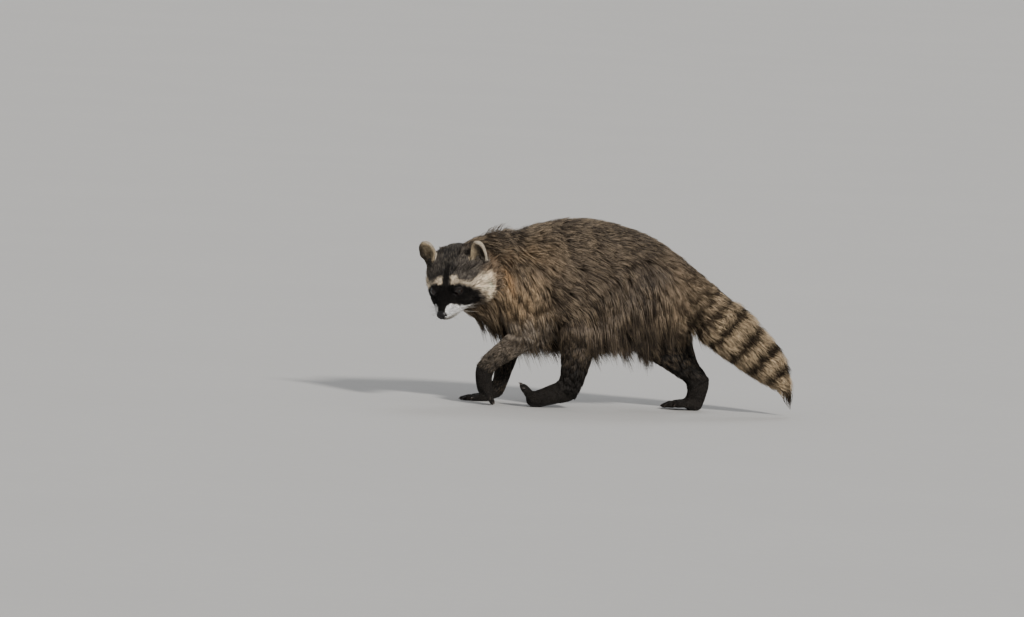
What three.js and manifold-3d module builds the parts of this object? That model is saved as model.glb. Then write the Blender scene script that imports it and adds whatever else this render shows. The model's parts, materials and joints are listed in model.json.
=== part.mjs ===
// A life-size raccoon, walking, with its head turned to its left and lowered.
// Millimetres, +Z up, the floor at Z = 0. The animal walks towards -X and its left side is -Y.
// Every solid reaches to the tips of the coat. The soles rest on small flats at Z = 0.
import * as THREE from "three";
import { mergeVertices } from "three/addons/utils/BufferGeometryUtils.js";
import Module from "manifold-3d";

const wasm = await Module();
wasm.setup();

// ---------------------------------------------------------------- driving dimensions

const GAP = 0.4; // thin cut between neighbouring pieces
const FAR = 600; // larger than anything that a half space has to cut
const LEFT = -1; // sign of Y on the animal's left side
const RIGHT = 1;

// Trunk: x, height of the back, height of the belly fringe, half width
const TRUNK = [
  [-174, 284, 176, 46],
  [-150, 297, 132, 62],
  [-115, 309, 110, 71],
  [-75, 322, 104, 76],
  [-35, 330, 105, 82],
  [5, 331, 107, 86],
  [45, 324, 107, 87],
  [80, 315, 108, 85],
  [112, 303, 114, 80],
  [142, 284, 126, 70],
  [172, 264, 142, 56],
  [200, 243, 164, 38],
  [220, 224, 184, 22],
];
const TRUNK_PEAR = 0.1; // how much narrower the back is than the flanks

// Neck: centre x, y, z, then reach upwards, downwards and sideways
const NECK = [
  [-112, 2, 214, 78, 92, 52],
  [-150, -2, 222, 76, 94, 62],
  [-182, -16, 222, 71, 78, 64],
  [-208, -34, 222, 56, 62, 60],
  [-228, -54, 218, 34, 46, 46],
];
const NECK_CUT = { point: [-150, 0, 220], normal: [-1, -0.1, 0] };

// Head: placed by the point midway between the eyes, its turn from straight ahead and its dip
const EYE_MIDPOINT = [-239, -85, 205.5];
const HEAD_HEADING = THREE.MathUtils.degToRad(-114);
const HEAD_DIP = THREE.MathUtils.degToRad(38);
const HEAD_TILT = THREE.MathUtils.degToRad(6); // the left ear is carried higher
// Head sections: distance ahead of the eyes, crown height, jaw height, half width, middle's y
const HEAD = [
  [-84, 38, -34, 42, 3],
  [-70, 44, -48, 58, 5],
  [-53, 45, -54, 66, 6],
  [-36, 41, -56, 66, 5],
  [-20, 33, -56, 62, 4],
  [-7, 24, -54, 56, 2.5],
  [4, 14, -51, 48, 1],
  [14, 6, -47, 37, 0],
  [25, 1, -44, 27, 0],
  [36, -3, -42, 21, 0],
  [46, -8, -38, 16.5, 0],
  [53, -13, -33, 11, 0],
];
const EYE = { radius: 8, ahead: 10, out: 22.5, up: 0 };
const NOSE = { ahead: 51, up: -20.5, length: 8.5, half: 10, height: 8.5 };
const EAR = {
  root: [-44, 47, 22], // in the head's frame, left side
  tip: [-49, 53, 63.5],
  aside: 4, // both ears stand this far to the left, as the crown does
  half: 16.5, // half width across the ear
  thickness: 7, // half thickness of the blank
  wall: 3, // what is left behind the hollow
  opening: [0.91, 0.42, 0], // the way the ear faces
};

// Tail: centre x, z, half depth, half width
const TAIL = [
  [158, 222, 40, 38],
  [190, 196, 43, 39],
  [222, 170, 44, 38],
  [254, 143, 44, 37],
  [286, 117, 40, 34],
  [316, 92, 34, 30],
  [341, 67, 26, 24],
  [358, 44, 17, 16],
  [366, 22, 6, 6],
];
// Where the tail is parted: a point on its axis and the way it runs there
const TAIL_CUTS = [
  { point: [218, 0, 174], normal: [0.76, 0, -0.65] },
  { point: [274, 0, 127], normal: [0.76, 0, -0.65] },
  { point: [324, 0, 84], normal: [0.72, 0, -0.7] },
];

// Legs: the joints, then half depth and half width at each joint. Y is given for the left side.
// A ham is a second muscle form, from the rump to the middle of the shank.
const LEGS = {
  left_fore: {
    side: LEFT,
    names: ["upper_arm", "forearm", "forepaw"],
    joints: [
      [-130, 48, 212],
      [-98, 54, 127],
      [-171, 51, 66],
      [-170, 50, 32],
      [-152, 50, 1],
    ],
    sizes: [
      [44, 32],
      [26, 23],
      [15, 14],
    ],
    paw: "hand",
    palm: [13, 17],
    digit: { longest: 30, radius: 5.6 },
  },
  right_fore: {
    side: RIGHT,
    names: ["upper_arm", "forearm", "forepaw"],
    joints: [
      [-128, 46, 208],
      [-121, 52, 118],
      [-146, 44, 21],
      [-170, 44, 6.5],
      [-204, 44, 3.5],
    ],
    sizes: [
      [44, 32],
      [21, 20],
      [13, 13],
    ],
    paw: "hand",
    palm: [9, 17],
    digit: { longest: 36, radius: 5.2 },
  },
  left_hind: {
    side: LEFT,
    names: ["thigh", "shank", "hindfoot"],
    joints: [
      [100, 48, 206],
      [-4, 60, 140],
      [-19, 54, 34],
      [-81, 52, 11.5],
      [-110, 52, 44],
    ],
    sizes: [
      [64, 44],
      [36, 29],
      [20, 17],
    ],
    paw: "foot",
    palm: [13.5, 18],
    digit: { longest: 33, radius: 7 },
  },
  right_hind: {
    side: RIGHT,
    names: ["thigh", "shank", "hindfoot"],
    joints: [
      [118, 46, 200],
      [124, 58, 120],
      [208, 50, 55],
      [200, 48, 12.5],
      [142, 48, 6],
    ],
    sizes: [
      [60, 42],
      [32, 30],
      [18.5, 16],
    ],
    ham: {
      joints: [
        [142, 48, 168],
        [186, 51, 84],
      ],
      sizes: [
        [34, 30],
        [18, 17],
      ],
    },
    paw: "foot",
    palm: [15, 18],
    digit: { longest: 52, radius: 6.5 },
  },
};
// A limb's root fills a plug in the flank that runs straight in sideways: how far its outline stands
// off the limb's own, where its middle lies and how far it reaches either way
const PLUG = { border: 12, middle: 84, half: 82 };
// Paws: lengths of the digits from the inner one outwards as shares of the longest, how far they
// fan out, and the length of the claws
const PAWS = {
  hand: { digits: [0.6, 0.9, 1, 0.94, 0.72], fan: 0.2, claw: 8 },
  foot: { digits: [0.66, 0.9, 1, 0.97, 0.79], fan: 0.1, claw: 8 },
};

// ---------------------------------------------------------------- shaping helpers

const vec = (x, y, z) => new THREE.Vector3(x, y, z);
const mix = (a, b, t) => a + (b - a) * t;

// A closed solid from a three.js geometry whose shared vertices are merged.
function solidOf(geometry) {
  const bare = geometry.clone();
  bare.deleteAttribute("normal");
  bare.deleteAttribute("uv");
  const merged = mergeVertices(bare, 1e-4);
  const mesh = new wasm.Mesh({
    numProp: 3,
    vertProperties: new Float32Array(merged.attributes.position.array),
    triVerts: withoutSlivers(merged.index.array),
  });
  return new wasm.Manifold(mesh);
}

// Triangles that a pole has closed to a line are left out.
function withoutSlivers(index) {
  const kept = [];
  for (let i = 0; i < index.length; i += 3) {
    const [a, b, c] = index.slice(i, i + 3);
    if (a !== b && b !== c && a !== c) kept.push(a, b, c);
  }
  return new Uint32Array(kept);
}

// Everything on the side of a plane that its normal points to.
function halfSpace(point, normal) {
  const box = new THREE.BoxGeometry(2 * FAR, 2 * FAR, FAR);
  box.translate(0, 0, FAR / 2);
  box.applyQuaternion(new THREE.Quaternion().setFromUnitVectors(vec(0, 0, 1), normal));
  box.translate(point.x, point.y, point.z);
  return solidOf(box);
}

// Smooth interpolation of rows of numbers by position along a form, 0 to 1.
function along(rows, places) {
  const columns = rows[0].map((_, c) => rows.map((row) => row[c]));
  return (t) => {
    let i = 0;
    while (i < places.length - 2 && t > places[i + 1]) i += 1;
    const span = places[i + 1] - places[i];
    const u = THREE.MathUtils.clamp((t - places[i]) / span, 0, 1);
    return columns.map((values) => hermite(values, places, i, u));
  };
}

function slope(values, places, i) {
  const low = Math.max(i - 1, 0);
  const high = Math.min(i + 1, values.length - 1);
  return (values[high] - values[low]) / (places[high] - places[low]);
}

function hermite(values, places, i, u) {
  const span = places[i + 1] - places[i];
  const leave = slope(values, places, i) * span;
  const arrive = slope(values, places, i + 1) * span;
  const u2 = u * u;
  const u3 = u2 * u;
  return (
    values[i] * (2 * u3 - 3 * u2 + 1) +
    leave * (u3 - 2 * u2 + u) +
    values[i + 1] * (3 * u2 - 2 * u3) +
    arrive * (u3 - u2)
  );
}

// Shares of the length at which a path passes its own points.
function placesOf(points) {
  const lengths = [0];
  for (let i = 1; i < points.length; i += 1) {
    lengths.push(lengths[i - 1] + points[i].distanceTo(points[i - 1]));
  }
  return lengths.map((length) => length / lengths.at(-1));
}

// A rounded form: the rings of a sphere are moved to sections along a path. Each row of `rows` is
// centre x, y, z, reach up, reach down, reach sideways. `rounding` is the length of each round end
// as a share of the whole. `frame` gives a section's up and side from the way the path runs.
function form({ rows, rounding, frame, pear = 0, grow = 0, rings, spokes }) {
  const points = rows.map(([x, y, z]) => vec(x, y, z));
  const at = along(rows, placesOf(points));
  const geometry = new THREE.SphereGeometry(1, spokes, rings);
  const position = geometry.attributes.position;
  const uv = geometry.attributes.uv;
  const [first, last] = rounding;
  for (let i = 0; i < position.count; i += 1) {
    const polar = (1 - uv.getY(i)) * Math.PI;
    const turn = uv.getX(i) * 2 * Math.PI;
    const t = stationOf(polar / Math.PI, first, last);
    const [x, y, z, rise, drop, half] = at(t);
    const ahead = at(Math.min(t + 0.01, 1));
    const behind = at(Math.max(t - 0.01, 0));
    const run = vec(ahead[0] - behind[0], ahead[1] - behind[1], ahead[2] - behind[2]).normalize();
    const { up, side } = frame(run);
    const round = endFactor(t, first, last);
    const lift = Math.sin(turn);
    const reach = ((lift > 0 ? rise : drop) + grow) * round * lift;
    const width = (half + grow) * round * Math.cos(turn) * (1 - pear * lift);
    const p = vec(x, y, z).addScaledVector(up, reach).addScaledVector(side, width);
    p.addScaledVector(run, grow * (t < 0.5 ? -1 : 1) * (1 - round));
    position.setXYZ(i, p.x, p.y, p.z);
  }
  const made = solidOf(geometry);
  return made.volume() < 0 ? solidOf(turnedInsideOut(geometry)) : made;
}

function turnedInsideOut(geometry) {
  const index = geometry.index.array;
  for (let i = 0; i < index.length; i += 3) {
    [index[i + 1], index[i + 2]] = [index[i + 2], index[i + 1]];
  }
  return geometry;
}

// Rings crowd towards the round ends, so that the ends stay smooth.
function stationOf(t, first, last) {
  const share = 0.3;
  if (t < share) return first * (1 - Math.cos((t / share) * (Math.PI / 2)));
  if (t > 1 - share) return 1 - last * (1 - Math.cos(((1 - t) / share) * (Math.PI / 2)));
  return mix(first, 1 - last, (t - share) / (1 - 2 * share));
}

function endFactor(s, first, last) {
  const start = s < first ? 1 - s / first : 0;
  const end = s > 1 - last ? 1 - (1 - s) / last : 0;
  return Math.sqrt(Math.max(0, 1 - start * start)) * Math.sqrt(Math.max(0, 1 - end * end));
}

// Section frames: upright sections for trunk and neck, sections square to the path elsewhere.
const upright = (run) => ({
  up: vec(0, 0, 1),
  side: vec(-run.y, run.x, 0).normalize(),
});
const square = (run) => {
  const side = vec(0, 1, 0).addScaledVector(run, -run.y).normalize();
  return { up: side.clone().cross(run), side };
};

// ---------------------------------------------------------------- trunk, neck and tail

const trunkForm = (grow = 0) =>
  form({
    rows: TRUNK.map(([x, top, bottom, half]) => {
      const middle = mix(bottom, top, 0.45);
      return [x, 0, middle, top - middle, middle - bottom, half];
    }),
    rounding: [0.09, 0.07],
    frame: upright,
    pear: TRUNK_PEAR,
    rings: 18,
    spokes: 16,
    grow,
  });

const neckForm = (grow = 0) =>
  form({ rows: NECK, rounding: [0.2, 0.2], frame: upright, rings: 8, spokes: 14, grow });

const tailForm = (grow = 0) =>
  form({
    rows: TAIL.map(([x, z, depth, half]) => [x, 0, z, depth, depth, half]),
    rounding: [0.08, 0.05],
    frame: square,
    rings: 15,
    spokes: 12,
    grow,
  });

// ---------------------------------------------------------------- head, in its own frame

const headFrame = new THREE.Matrix4().compose(
  vec(...EYE_MIDPOINT),
  new THREE.Quaternion().setFromEuler(new THREE.Euler(HEAD_TILT, HEAD_DIP, HEAD_HEADING, "ZYX")),
  vec(1, 1, 1),
);

// Head frame: +X ahead, +Y to the animal's left, +Z up.
const headUpright = () => ({ up: vec(0, 0, 1), side: vec(0, 1, 0) });

function headForm(grow = 0) {
  return form({
    rows: HEAD.map(([x, top, bottom, half, y]) => {
      const middle = mix(bottom, top, 0.42);
      return [x, y, middle, top - middle, middle - bottom, half];
    }),
    rounding: [0.14, 0.045],
    frame: headUpright,
    rings: 16,
    spokes: 18,
    grow,
  });
}

function ball(place, radii) {
  const geometry = new THREE.SphereGeometry(1, 10, 10);
  geometry.scale(...radii);
  geometry.translate(...place);
  return solidOf(geometry);
}

function eyeForm(sign, grow = 0) {
  const radius = EYE.radius + grow;
  return ball([EYE.ahead, sign * EYE.out, EYE.up], [radius, radius, radius]);
}

const noseForm = (grow = 0) =>
  ball([NOSE.ahead, 0, NOSE.up], [NOSE.length + grow, NOSE.half + grow, NOSE.height + grow]);

// The ear is a flattened blank with a hollow cut in the side that faces forward and out.
function earForm(sign, grow = 0) {
  const root = vec(EAR.root[0], sign * EAR.root[1] + EAR.aside, EAR.root[2]);
  const tip = vec(EAR.tip[0], sign * EAR.tip[1] + EAR.aside, EAR.tip[2]);
  const up = tip.clone().sub(root);
  const height = up.length();
  up.normalize();
  const face = vec(EAR.opening[0], sign * EAR.opening[1], EAR.opening[2]);
  face.addScaledVector(up, -face.dot(up)).normalize();
  const across = up.clone().cross(face);
  const basis = new THREE.Matrix4().makeBasis(face, across, up);
  const blank = shapedEar(EAR.half + grow, height + grow, EAR.thickness + grow);
  const hollow = shapedEar(EAR.half - EAR.wall, height - 2 * EAR.wall, EAR.thickness);
  hollow.translate(EAR.wall + 1.5, 0, 0);
  for (const piece of [blank, hollow]) {
    piece.applyMatrix4(basis);
    piece.translate(root.x, root.y, root.z);
  }
  return grow ? solidOf(blank) : solidOf(blank).subtract(solidOf(hollow));
}

// A flattened ball with a rounder top than an ellipse has, whose rims curl towards the opening.
function shapedEar(half, height, thickness) {
  const geometry = new THREE.SphereGeometry(1, 10, 10);
  geometry.rotateX(Math.PI / 2);
  const position = geometry.attributes.position;
  for (let i = 0; i < position.count; i += 1) {
    const x = position.getX(i);
    const y = position.getY(i);
    const z = position.getZ(i);
    const full = z > 0 && z < 1 ? (1 - z ** 3) ** 0.45 / Math.sqrt(1 - z * z) : 1;
    const curl = y * y * thickness * 0.9;
    const rise = z > 0 ? z * height : z * height * 0.45;
    position.setXYZ(i, x * full * thickness + curl, y * full * half, rise);
  }
  return geometry;
}

// ---------------------------------------------------------------- legs

function jointsOf(leg) {
  return leg.joints.map(([x, y, z]) => vec(x, leg.side * y, z));
}

// A muscle form between two joints, with round ends centred on them.
function muscle(a, b, sizeA, sizeB, grow = 0) {
  const run = b.clone().sub(a).normalize();
  const start = a.clone().addScaledVector(run, -sizeA[0]);
  const end = b.clone().addScaledVector(run, sizeB[0]);
  const length = start.distanceTo(end);
  const row = (p, [depth, half]) => [p.x, p.y, p.z, depth, depth, half];
  return form({
    rows: [row(start, sizeA), row(a, sizeA), row(b, sizeB), row(end, sizeB)],
    rounding: [sizeA[0] / length, sizeB[0] / length],
    frame: square,
    rings: 8,
    spokes: 10,
    grow,
  });
}

// One length of a leg, from joint i to joint i + 1, with the ham that runs over its first bend.
function legForm(leg, i, grow = 0) {
  const joints = jointsOf(leg);
  const length = muscle(joints[i], joints[i + 1], leg.sizes[i], leg.sizes[i + 1], grow);
  if (!leg.ham) return length;
  const [top, bottom] = leg.ham.joints.map(([x, y, z]) => vec(x, leg.side * y, z));
  return length.add(muscle(top, bottom, ...leg.ham.sizes, grow));
}

// The plug in the flank that a limb's root fills.
function plugForm(leg, grow = 0) {
  const flat = (p) => vec(p.x, leg.side * PLUG.middle, p.z);
  const wide = ([depth]) => [depth + PLUG.border, PLUG.half];
  const plug = (a, b, sizeA, sizeB) => muscle(flat(a), flat(b), wide(sizeA), wide(sizeB), grow);
  const joints = jointsOf(leg);
  const length = plug(joints[0], joints[1], leg.sizes[0], leg.sizes[1]);
  if (!leg.ham) return length;
  const [top, bottom] = leg.ham.joints.map(([x, y, z]) => vec(x, y, z));
  return length.add(plug(top, bottom, ...leg.ham.sizes));
}

// The plane that halves the bend at joint i, facing away from the body.
function bend(leg, i) {
  const joints = jointsOf(leg);
  const before = joints[i].clone().sub(joints[i - 1]).normalize();
  const after = joints[i + 1].clone().sub(joints[i]).normalize();
  return { point: joints[i], normal: before.add(after).normalize() };
}

function beyond({ point, normal }) {
  return halfSpace(point.clone().addScaledVector(normal, GAP / 2), normal);
}

function before({ point, normal }, gap = GAP) {
  const back = normal.clone().negate();
  return halfSpace(point.clone().addScaledVector(back, gap / 2), back);
}

function digitForm(base, run, length, radius, claw) {
  const tip = base.clone().addScaledVector(run, length);
  const down = vec(0, 0, -1);
  const nail = tip.clone().addScaledVector(run, claw * 0.85).addScaledVector(down, claw * 0.25);
  const row = (p, r) => [p.x, p.y, p.z, r, r, r];
  const knuckle = base.clone().lerp(tip, 0.55).addScaledVector(down, -radius * 0.25);
  return form({
    rows: [row(base, radius), row(knuckle, radius), row(tip, radius * 0.8), row(nail, radius * 0.3)],
    rounding: [0.1, 0.05],
    frame: square,
    rings: 5,
    spokes: 5,
  });
}

// A palm or sole with five digits that fan out from the knuckles.
function pawForm(leg) {
  const joints = jointsOf(leg);
  const [wrist, knuckles, tips] = joints.slice(2);
  const kind = PAWS[leg.paw];
  const [wristSize, palmSize] = [leg.sizes[2], leg.palm];
  const run = knuckles.clone().sub(wrist).normalize();
  const back = wrist.clone().addScaledVector(run, -wristSize[0]);
  const front = knuckles.clone().addScaledVector(run, palmSize[0]);
  const row = (p, [depth, half]) => [p.x, p.y, p.z, depth, depth, half];
  let paw = form({
    rows: [row(back, wristSize), row(wrist, wristSize), row(knuckles, palmSize), row(front, palmSize)],
    rounding: [0.18, 0.14],
    frame: square,
    rings: 7,
    spokes: 9,
  });
  const reach = tips.clone().sub(knuckles).normalize();
  const { longest, radius } = leg.digit;
  kind.digits.forEach((share, i) => {
    const across = leg.side * (i - 2); // from the inner digit to the outer one
    const base = knuckles.clone();
    base.y += across * palmSize[1] * 0.42;
    base.addScaledVector(reach, (share - 1) * longest * 0.3);
    const way = reach.clone();
    way.y += across * kind.fan;
    paw = paw.add(digitForm(base, way.normalize(), share * longest, radius, kind.claw));
  });
  return paw;
}

// ---------------------------------------------------------------- assembly

const colours = {
  coat: 0x6b5a45,
  darkCoat: 0x2a2522,
  tail: 0x8d7a5c,
  eye: 0x0a0807,
  nose: 0x131214,
  ear: 0x9a9184,
};
const material = (color, roughness) => new THREE.MeshStandardMaterial({ color, roughness, metalness: 0 });
const materials = {
  coat: material(colours.coat, 0.85),
  legs: material(colours.darkCoat, 0.8),
  head: material(colours.coat, 0.8),
  tail: material(colours.tail, 0.9),
  eye: material(colours.eye, 0.08),
  nose: material(colours.nose, 0.4),
  ear: material(colours.ear, 0.85),
};

const raccoon = new THREE.Group();
const headGroup = new THREE.Group();
headGroup.applyMatrix4(headFrame);
raccoon.add(headGroup);

// Puts a solid given in its group's frame into the scene, at its own centre.
function addMesh(group, name, solid, surface) {
  const { numProp, vertProperties, triVerts } = solid.getMesh();
  const positions = new Float32Array((vertProperties.length / numProp) * 3);
  for (let i = 0; i < positions.length / 3; i += 1) {
    positions.set(vertProperties.subarray(i * numProp, i * numProp + 3), i * 3);
  }
  const geometry = new THREE.BufferGeometry();
  geometry.setAttribute("position", new THREE.BufferAttribute(positions, 3));
  geometry.setIndex(new THREE.BufferAttribute(triVerts, 1));
  geometry.computeBoundingBox();
  const centre = geometry.boundingBox.getCenter(new THREE.Vector3());
  geometry.translate(-centre.x, -centre.y, -centre.z);
  geometry.computeVertexNormals();
  const mesh = new THREE.Mesh(geometry, surface);
  mesh.name = name;
  mesh.position.copy(centre);
  group.add(mesh);
}

// The main body of a solid, without the crumbs that a cut can leave.
const largest = (solid) => solid.decompose().sort((a, b) => b.volume() - a.volume())[0];
const placedHead = (solid) => solid.transform(headFrame.elements);
const floor = halfSpace(vec(0, 0, 0), vec(0, 0, 1));
const cutAt = ({ point, normal }) => ({ point: vec(...point), normal: vec(...normal).normalize() });

// Head: eyes and nose sit in sockets, and the ears stand on the skull.
let head = headForm();
for (const [side, sign] of [["left", 1], ["right", -1]]) {
  addMesh(headGroup, `eye_${side}`, eyeForm(sign), materials.eye);
  addMesh(headGroup, `ear_${side}`, earForm(sign).subtract(headForm(GAP)), materials.ear);
  head = head.subtract(eyeForm(sign, GAP));
}
addMesh(headGroup, "nose", noseForm(), materials.nose);
head = head.subtract(noseForm(GAP));
addMesh(headGroup, "head", head, materials.head);
const headSpace = placedHead(headForm(GAP).add(earForm(1, GAP)).add(earForm(-1, GAP)));

// The body is made whole, and then parted: first the legs, then neck, trunk and tail.
let body = trunkForm().add(neckForm()).add(tailForm()).subtract(headSpace);
for (const [name, leg] of Object.entries(LEGS)) {
  const label = name.split("_")[0];
  const [upper, lower, foot] = leg.names.map((part) => `${label}_${part}`);
  const [elbow, wrist] = [bend(leg, 1), bend(leg, 2)];
  const lowerForm = legForm(leg, 1);
  const upperSolid = body.intersect(plugForm(leg)).add(legForm(leg, 0)).subtract(headSpace);
  const lowerSolid = lowerForm.intersect(beyond(elbow)).intersect(before(wrist));
  addMesh(raccoon, upper, largest(upperSolid.intersect(before(elbow))), materials.coat);
  addMesh(raccoon, lower, largest(lowerSolid), materials.legs);
  addMesh(raccoon, foot, pawForm(leg).intersect(beyond(wrist)).intersect(floor), materials.legs);
  const rootSpace = plugForm(leg, GAP).add(legForm(leg, 0, GAP)).intersect(before(elbow, -GAP));
  body = body.subtract(rootSpace).subtract(legForm(leg, 1, GAP));
}

const neckCut = cutAt(NECK_CUT);
const tailCuts = TAIL_CUTS.map(cutAt);
const trunk = body.intersect(before(neckCut)).intersect(before(tailCuts[0]));
addMesh(raccoon, "neck", largest(body.intersect(beyond(neckCut))), materials.coat);
addMesh(raccoon, "trunk", largest(trunk), materials.coat);
["tail_base", "tail_middle", "tail_end"].forEach((name, i) => {
  let length = body.intersect(beyond(tailCuts[i]));
  if (i + 1 < tailCuts.length) length = length.intersect(before(tailCuts[i + 1]));
  addMesh(raccoon, name, largest(length), materials.tail);
});

// The frame's origin lies under the middle of the whole, on the floor.
const middle = new THREE.Box3().setFromObject(raccoon, true).getCenter(vec(0, 0, 0));
raccoon.position.set(-middle.x, -middle.y, 0);

export default raccoon;
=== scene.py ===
import json
import math

import bpy
import numpy as np
from mathutils import Matrix, Vector
from mathutils.bvhtree import BVHTree
from mathutils.kdtree import KDTree

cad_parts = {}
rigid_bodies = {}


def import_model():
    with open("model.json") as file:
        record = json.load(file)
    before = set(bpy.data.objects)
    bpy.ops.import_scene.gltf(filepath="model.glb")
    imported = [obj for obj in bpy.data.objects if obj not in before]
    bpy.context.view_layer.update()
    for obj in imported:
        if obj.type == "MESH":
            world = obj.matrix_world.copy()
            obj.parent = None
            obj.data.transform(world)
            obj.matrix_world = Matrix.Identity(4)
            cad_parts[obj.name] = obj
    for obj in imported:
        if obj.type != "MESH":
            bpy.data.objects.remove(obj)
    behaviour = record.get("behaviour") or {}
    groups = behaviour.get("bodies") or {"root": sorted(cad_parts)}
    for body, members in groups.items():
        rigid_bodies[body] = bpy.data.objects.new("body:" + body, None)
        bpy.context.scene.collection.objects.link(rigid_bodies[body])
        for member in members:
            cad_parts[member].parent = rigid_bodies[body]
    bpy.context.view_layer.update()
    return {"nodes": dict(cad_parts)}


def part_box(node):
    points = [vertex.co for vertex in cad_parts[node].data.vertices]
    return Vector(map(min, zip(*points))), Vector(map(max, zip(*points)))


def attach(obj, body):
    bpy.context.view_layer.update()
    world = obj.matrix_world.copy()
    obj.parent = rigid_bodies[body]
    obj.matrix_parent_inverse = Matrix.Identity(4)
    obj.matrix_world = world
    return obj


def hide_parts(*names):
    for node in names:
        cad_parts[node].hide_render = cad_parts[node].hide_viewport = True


bl_info = {
    "name": "Raccoon in full coat",
    "version": (1, 0, 0),
    "blender": (4, 5, 0),
    "location": "3D View > Sidebar > Raccoon",
    "description": "Builds a walking raccoon: skin, coat, eyes, nose, claws and whiskers",
    "category": "Object",
}

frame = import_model()

MM = 0.001
SIDES = ("left", "right")
RINGED_TAIL = ("tail_base", "tail_middle", "tail_end")
EARS = ("ear_left", "ear_right")
EYES = ("eye_left", "eye_right")
LIMB_PARTS = {
    "fore": ("upper_arm", "forearm", "forepaw"),
    "hind": ("thigh", "shank", "hindfoot"),
}
# The nodes of each limb, named by side and pair: left_fore, left_hind, right_fore and right_hind.
LIMB_NODES = {
    f"{side}_{pair}": [f"{side}_{part}" for part in parts] for side in SIDES for pair, parts in LIMB_PARTS.items()
}
FLESH = ["head", *EARS, "neck", "trunk", *RINGED_TAIL, *sum(LIMB_NODES.values(), [])]
FILLERS = [*EYES, "nose"]
HEAD_NODES = ("head", *FILLERS)
REGIONS = FLESH + FILLERS
CODE = {name: number for number, name in enumerate(REGIONS)}

# Lines down the middle of the tail and the limbs, in millimetres.
TAIL_LINE = [
    (118.3, 15.9, 222), (150.3, 15.9, 196), (182.3, 15.9, 170), (214.3, 15.9, 143), (246.3, 15.9, 117),
    (276.3, 15.9, 92), (301.3, 15.9, 67), (318.3, 15.9, 44), (326.3, 15.9, 22),
]
TAIL_END = (330.5, 15.9, 9.0)
LIMB_LINES = {
    "left_fore": [(-169.7, -32, 212), (-137.7, -38, 127), (-210.7, -35, 66), (-209.7, -34, 32), (-191.7, -34, 1)],
    "right_fore": [(-167.7, 62, 208), (-160.7, 68, 118), (-185.7, 60, 21), (-209.7, 60, 6.5), (-243.7, 60, 3.5)],
    "left_hind": [(60.3, -32, 206), (-43.7, -44, 140), (-58.7, -38, 34), (-120.7, -36, 11.5), (-149.7, -36, 44)],
    "right_hind": [(78.3, 62, 200), (84.3, 74, 120), (168.3, 66, 55), (160.3, 64, 12.5), (102.3, 64, 6)],
}

# The line of the left ear from root to tip, in millimetres ahead, left and up on the head. The right
# ear is its mirror, turned forward by an angle in degrees and made wider by a share.
EAR_LINE = ((-54.0, 47.0, 22.0), (-59.0, 53.0, 63.5))
EAR_TURN = 32.0
EAR_GROWTH = 0.12

# Steps of the skin, in metres: how far the solids are swelled so that they overlap, how much deeper
# than the coat the skin lies, and how near the eyes, the mouth and the toes its faces are made finer.
OVERLAP = 0.0006
UNDER_COAT = 0.0004
FINE_FACE = 0.019
FINE_EYE = 0.0135
FINE_TOE = 0.015

# How far the tail is lifted, and where along its middle line its skin ends, in millimetres.
TAIL_LIFT = 3.2
SKIN_TAIL_END = 276.0

# Where the coat is split into left and right halves and into shoulders and flanks, in metres, and
# where on the head into face and crown, in millimetres.
MIDDLE_Y = 0.0159
SHOULDER_X = -0.035
FACE_DEPTH = -22

# The hackles: where they stand and over what length, in millimetres, and the share that are spikes.
HACKLES_X = -207
HACKLES_RUN = 26
SPIKES = 0.14

# Where the coat hangs, the share of tufts that are loose, and how many times longer they are.
LOOSE = 0.20
LOOSE_LENGTH = 1.35

# How deep below the skin a tuft starts, in metres, and the size of its patch of the unwrap, from its
# middle to each side and from its root to its tip.
ROOT_SINK = 0.0006
PATCH = (0.0012, 0.0024)

# Whiskers: rows and places in a row on each side, and their thickness in millimetres.
WHISKER_ROWS = 4
WHISKER_PLACES = 4
WHISKER_WIDTH = 0.42

# Claws, in millimetres from the end of the toe: where they start, their height there and their tip.
CLAW_START = 2.4
CLAW_RISE = 1.4
CLAW_END = 8.8

# Each light: the way to it, how broad it is in degrees, its strength and its colour.
LIGHTS = {
    "key": ((0.44, -0.75, 0.50), 7.0, 3.6, (1.0, 0.96, 0.90)),
    "rim": ((0.15, 0.75, 0.65), 20.0, 0.5, (0.96, 0.98, 1.0)),
}
CAMERA_AIM = (-0.1669, 0.0159, 0.1674)

# Seeds of the scattered parts.
COAT_SEED = 20
WHISKER_SEED = 7

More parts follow.
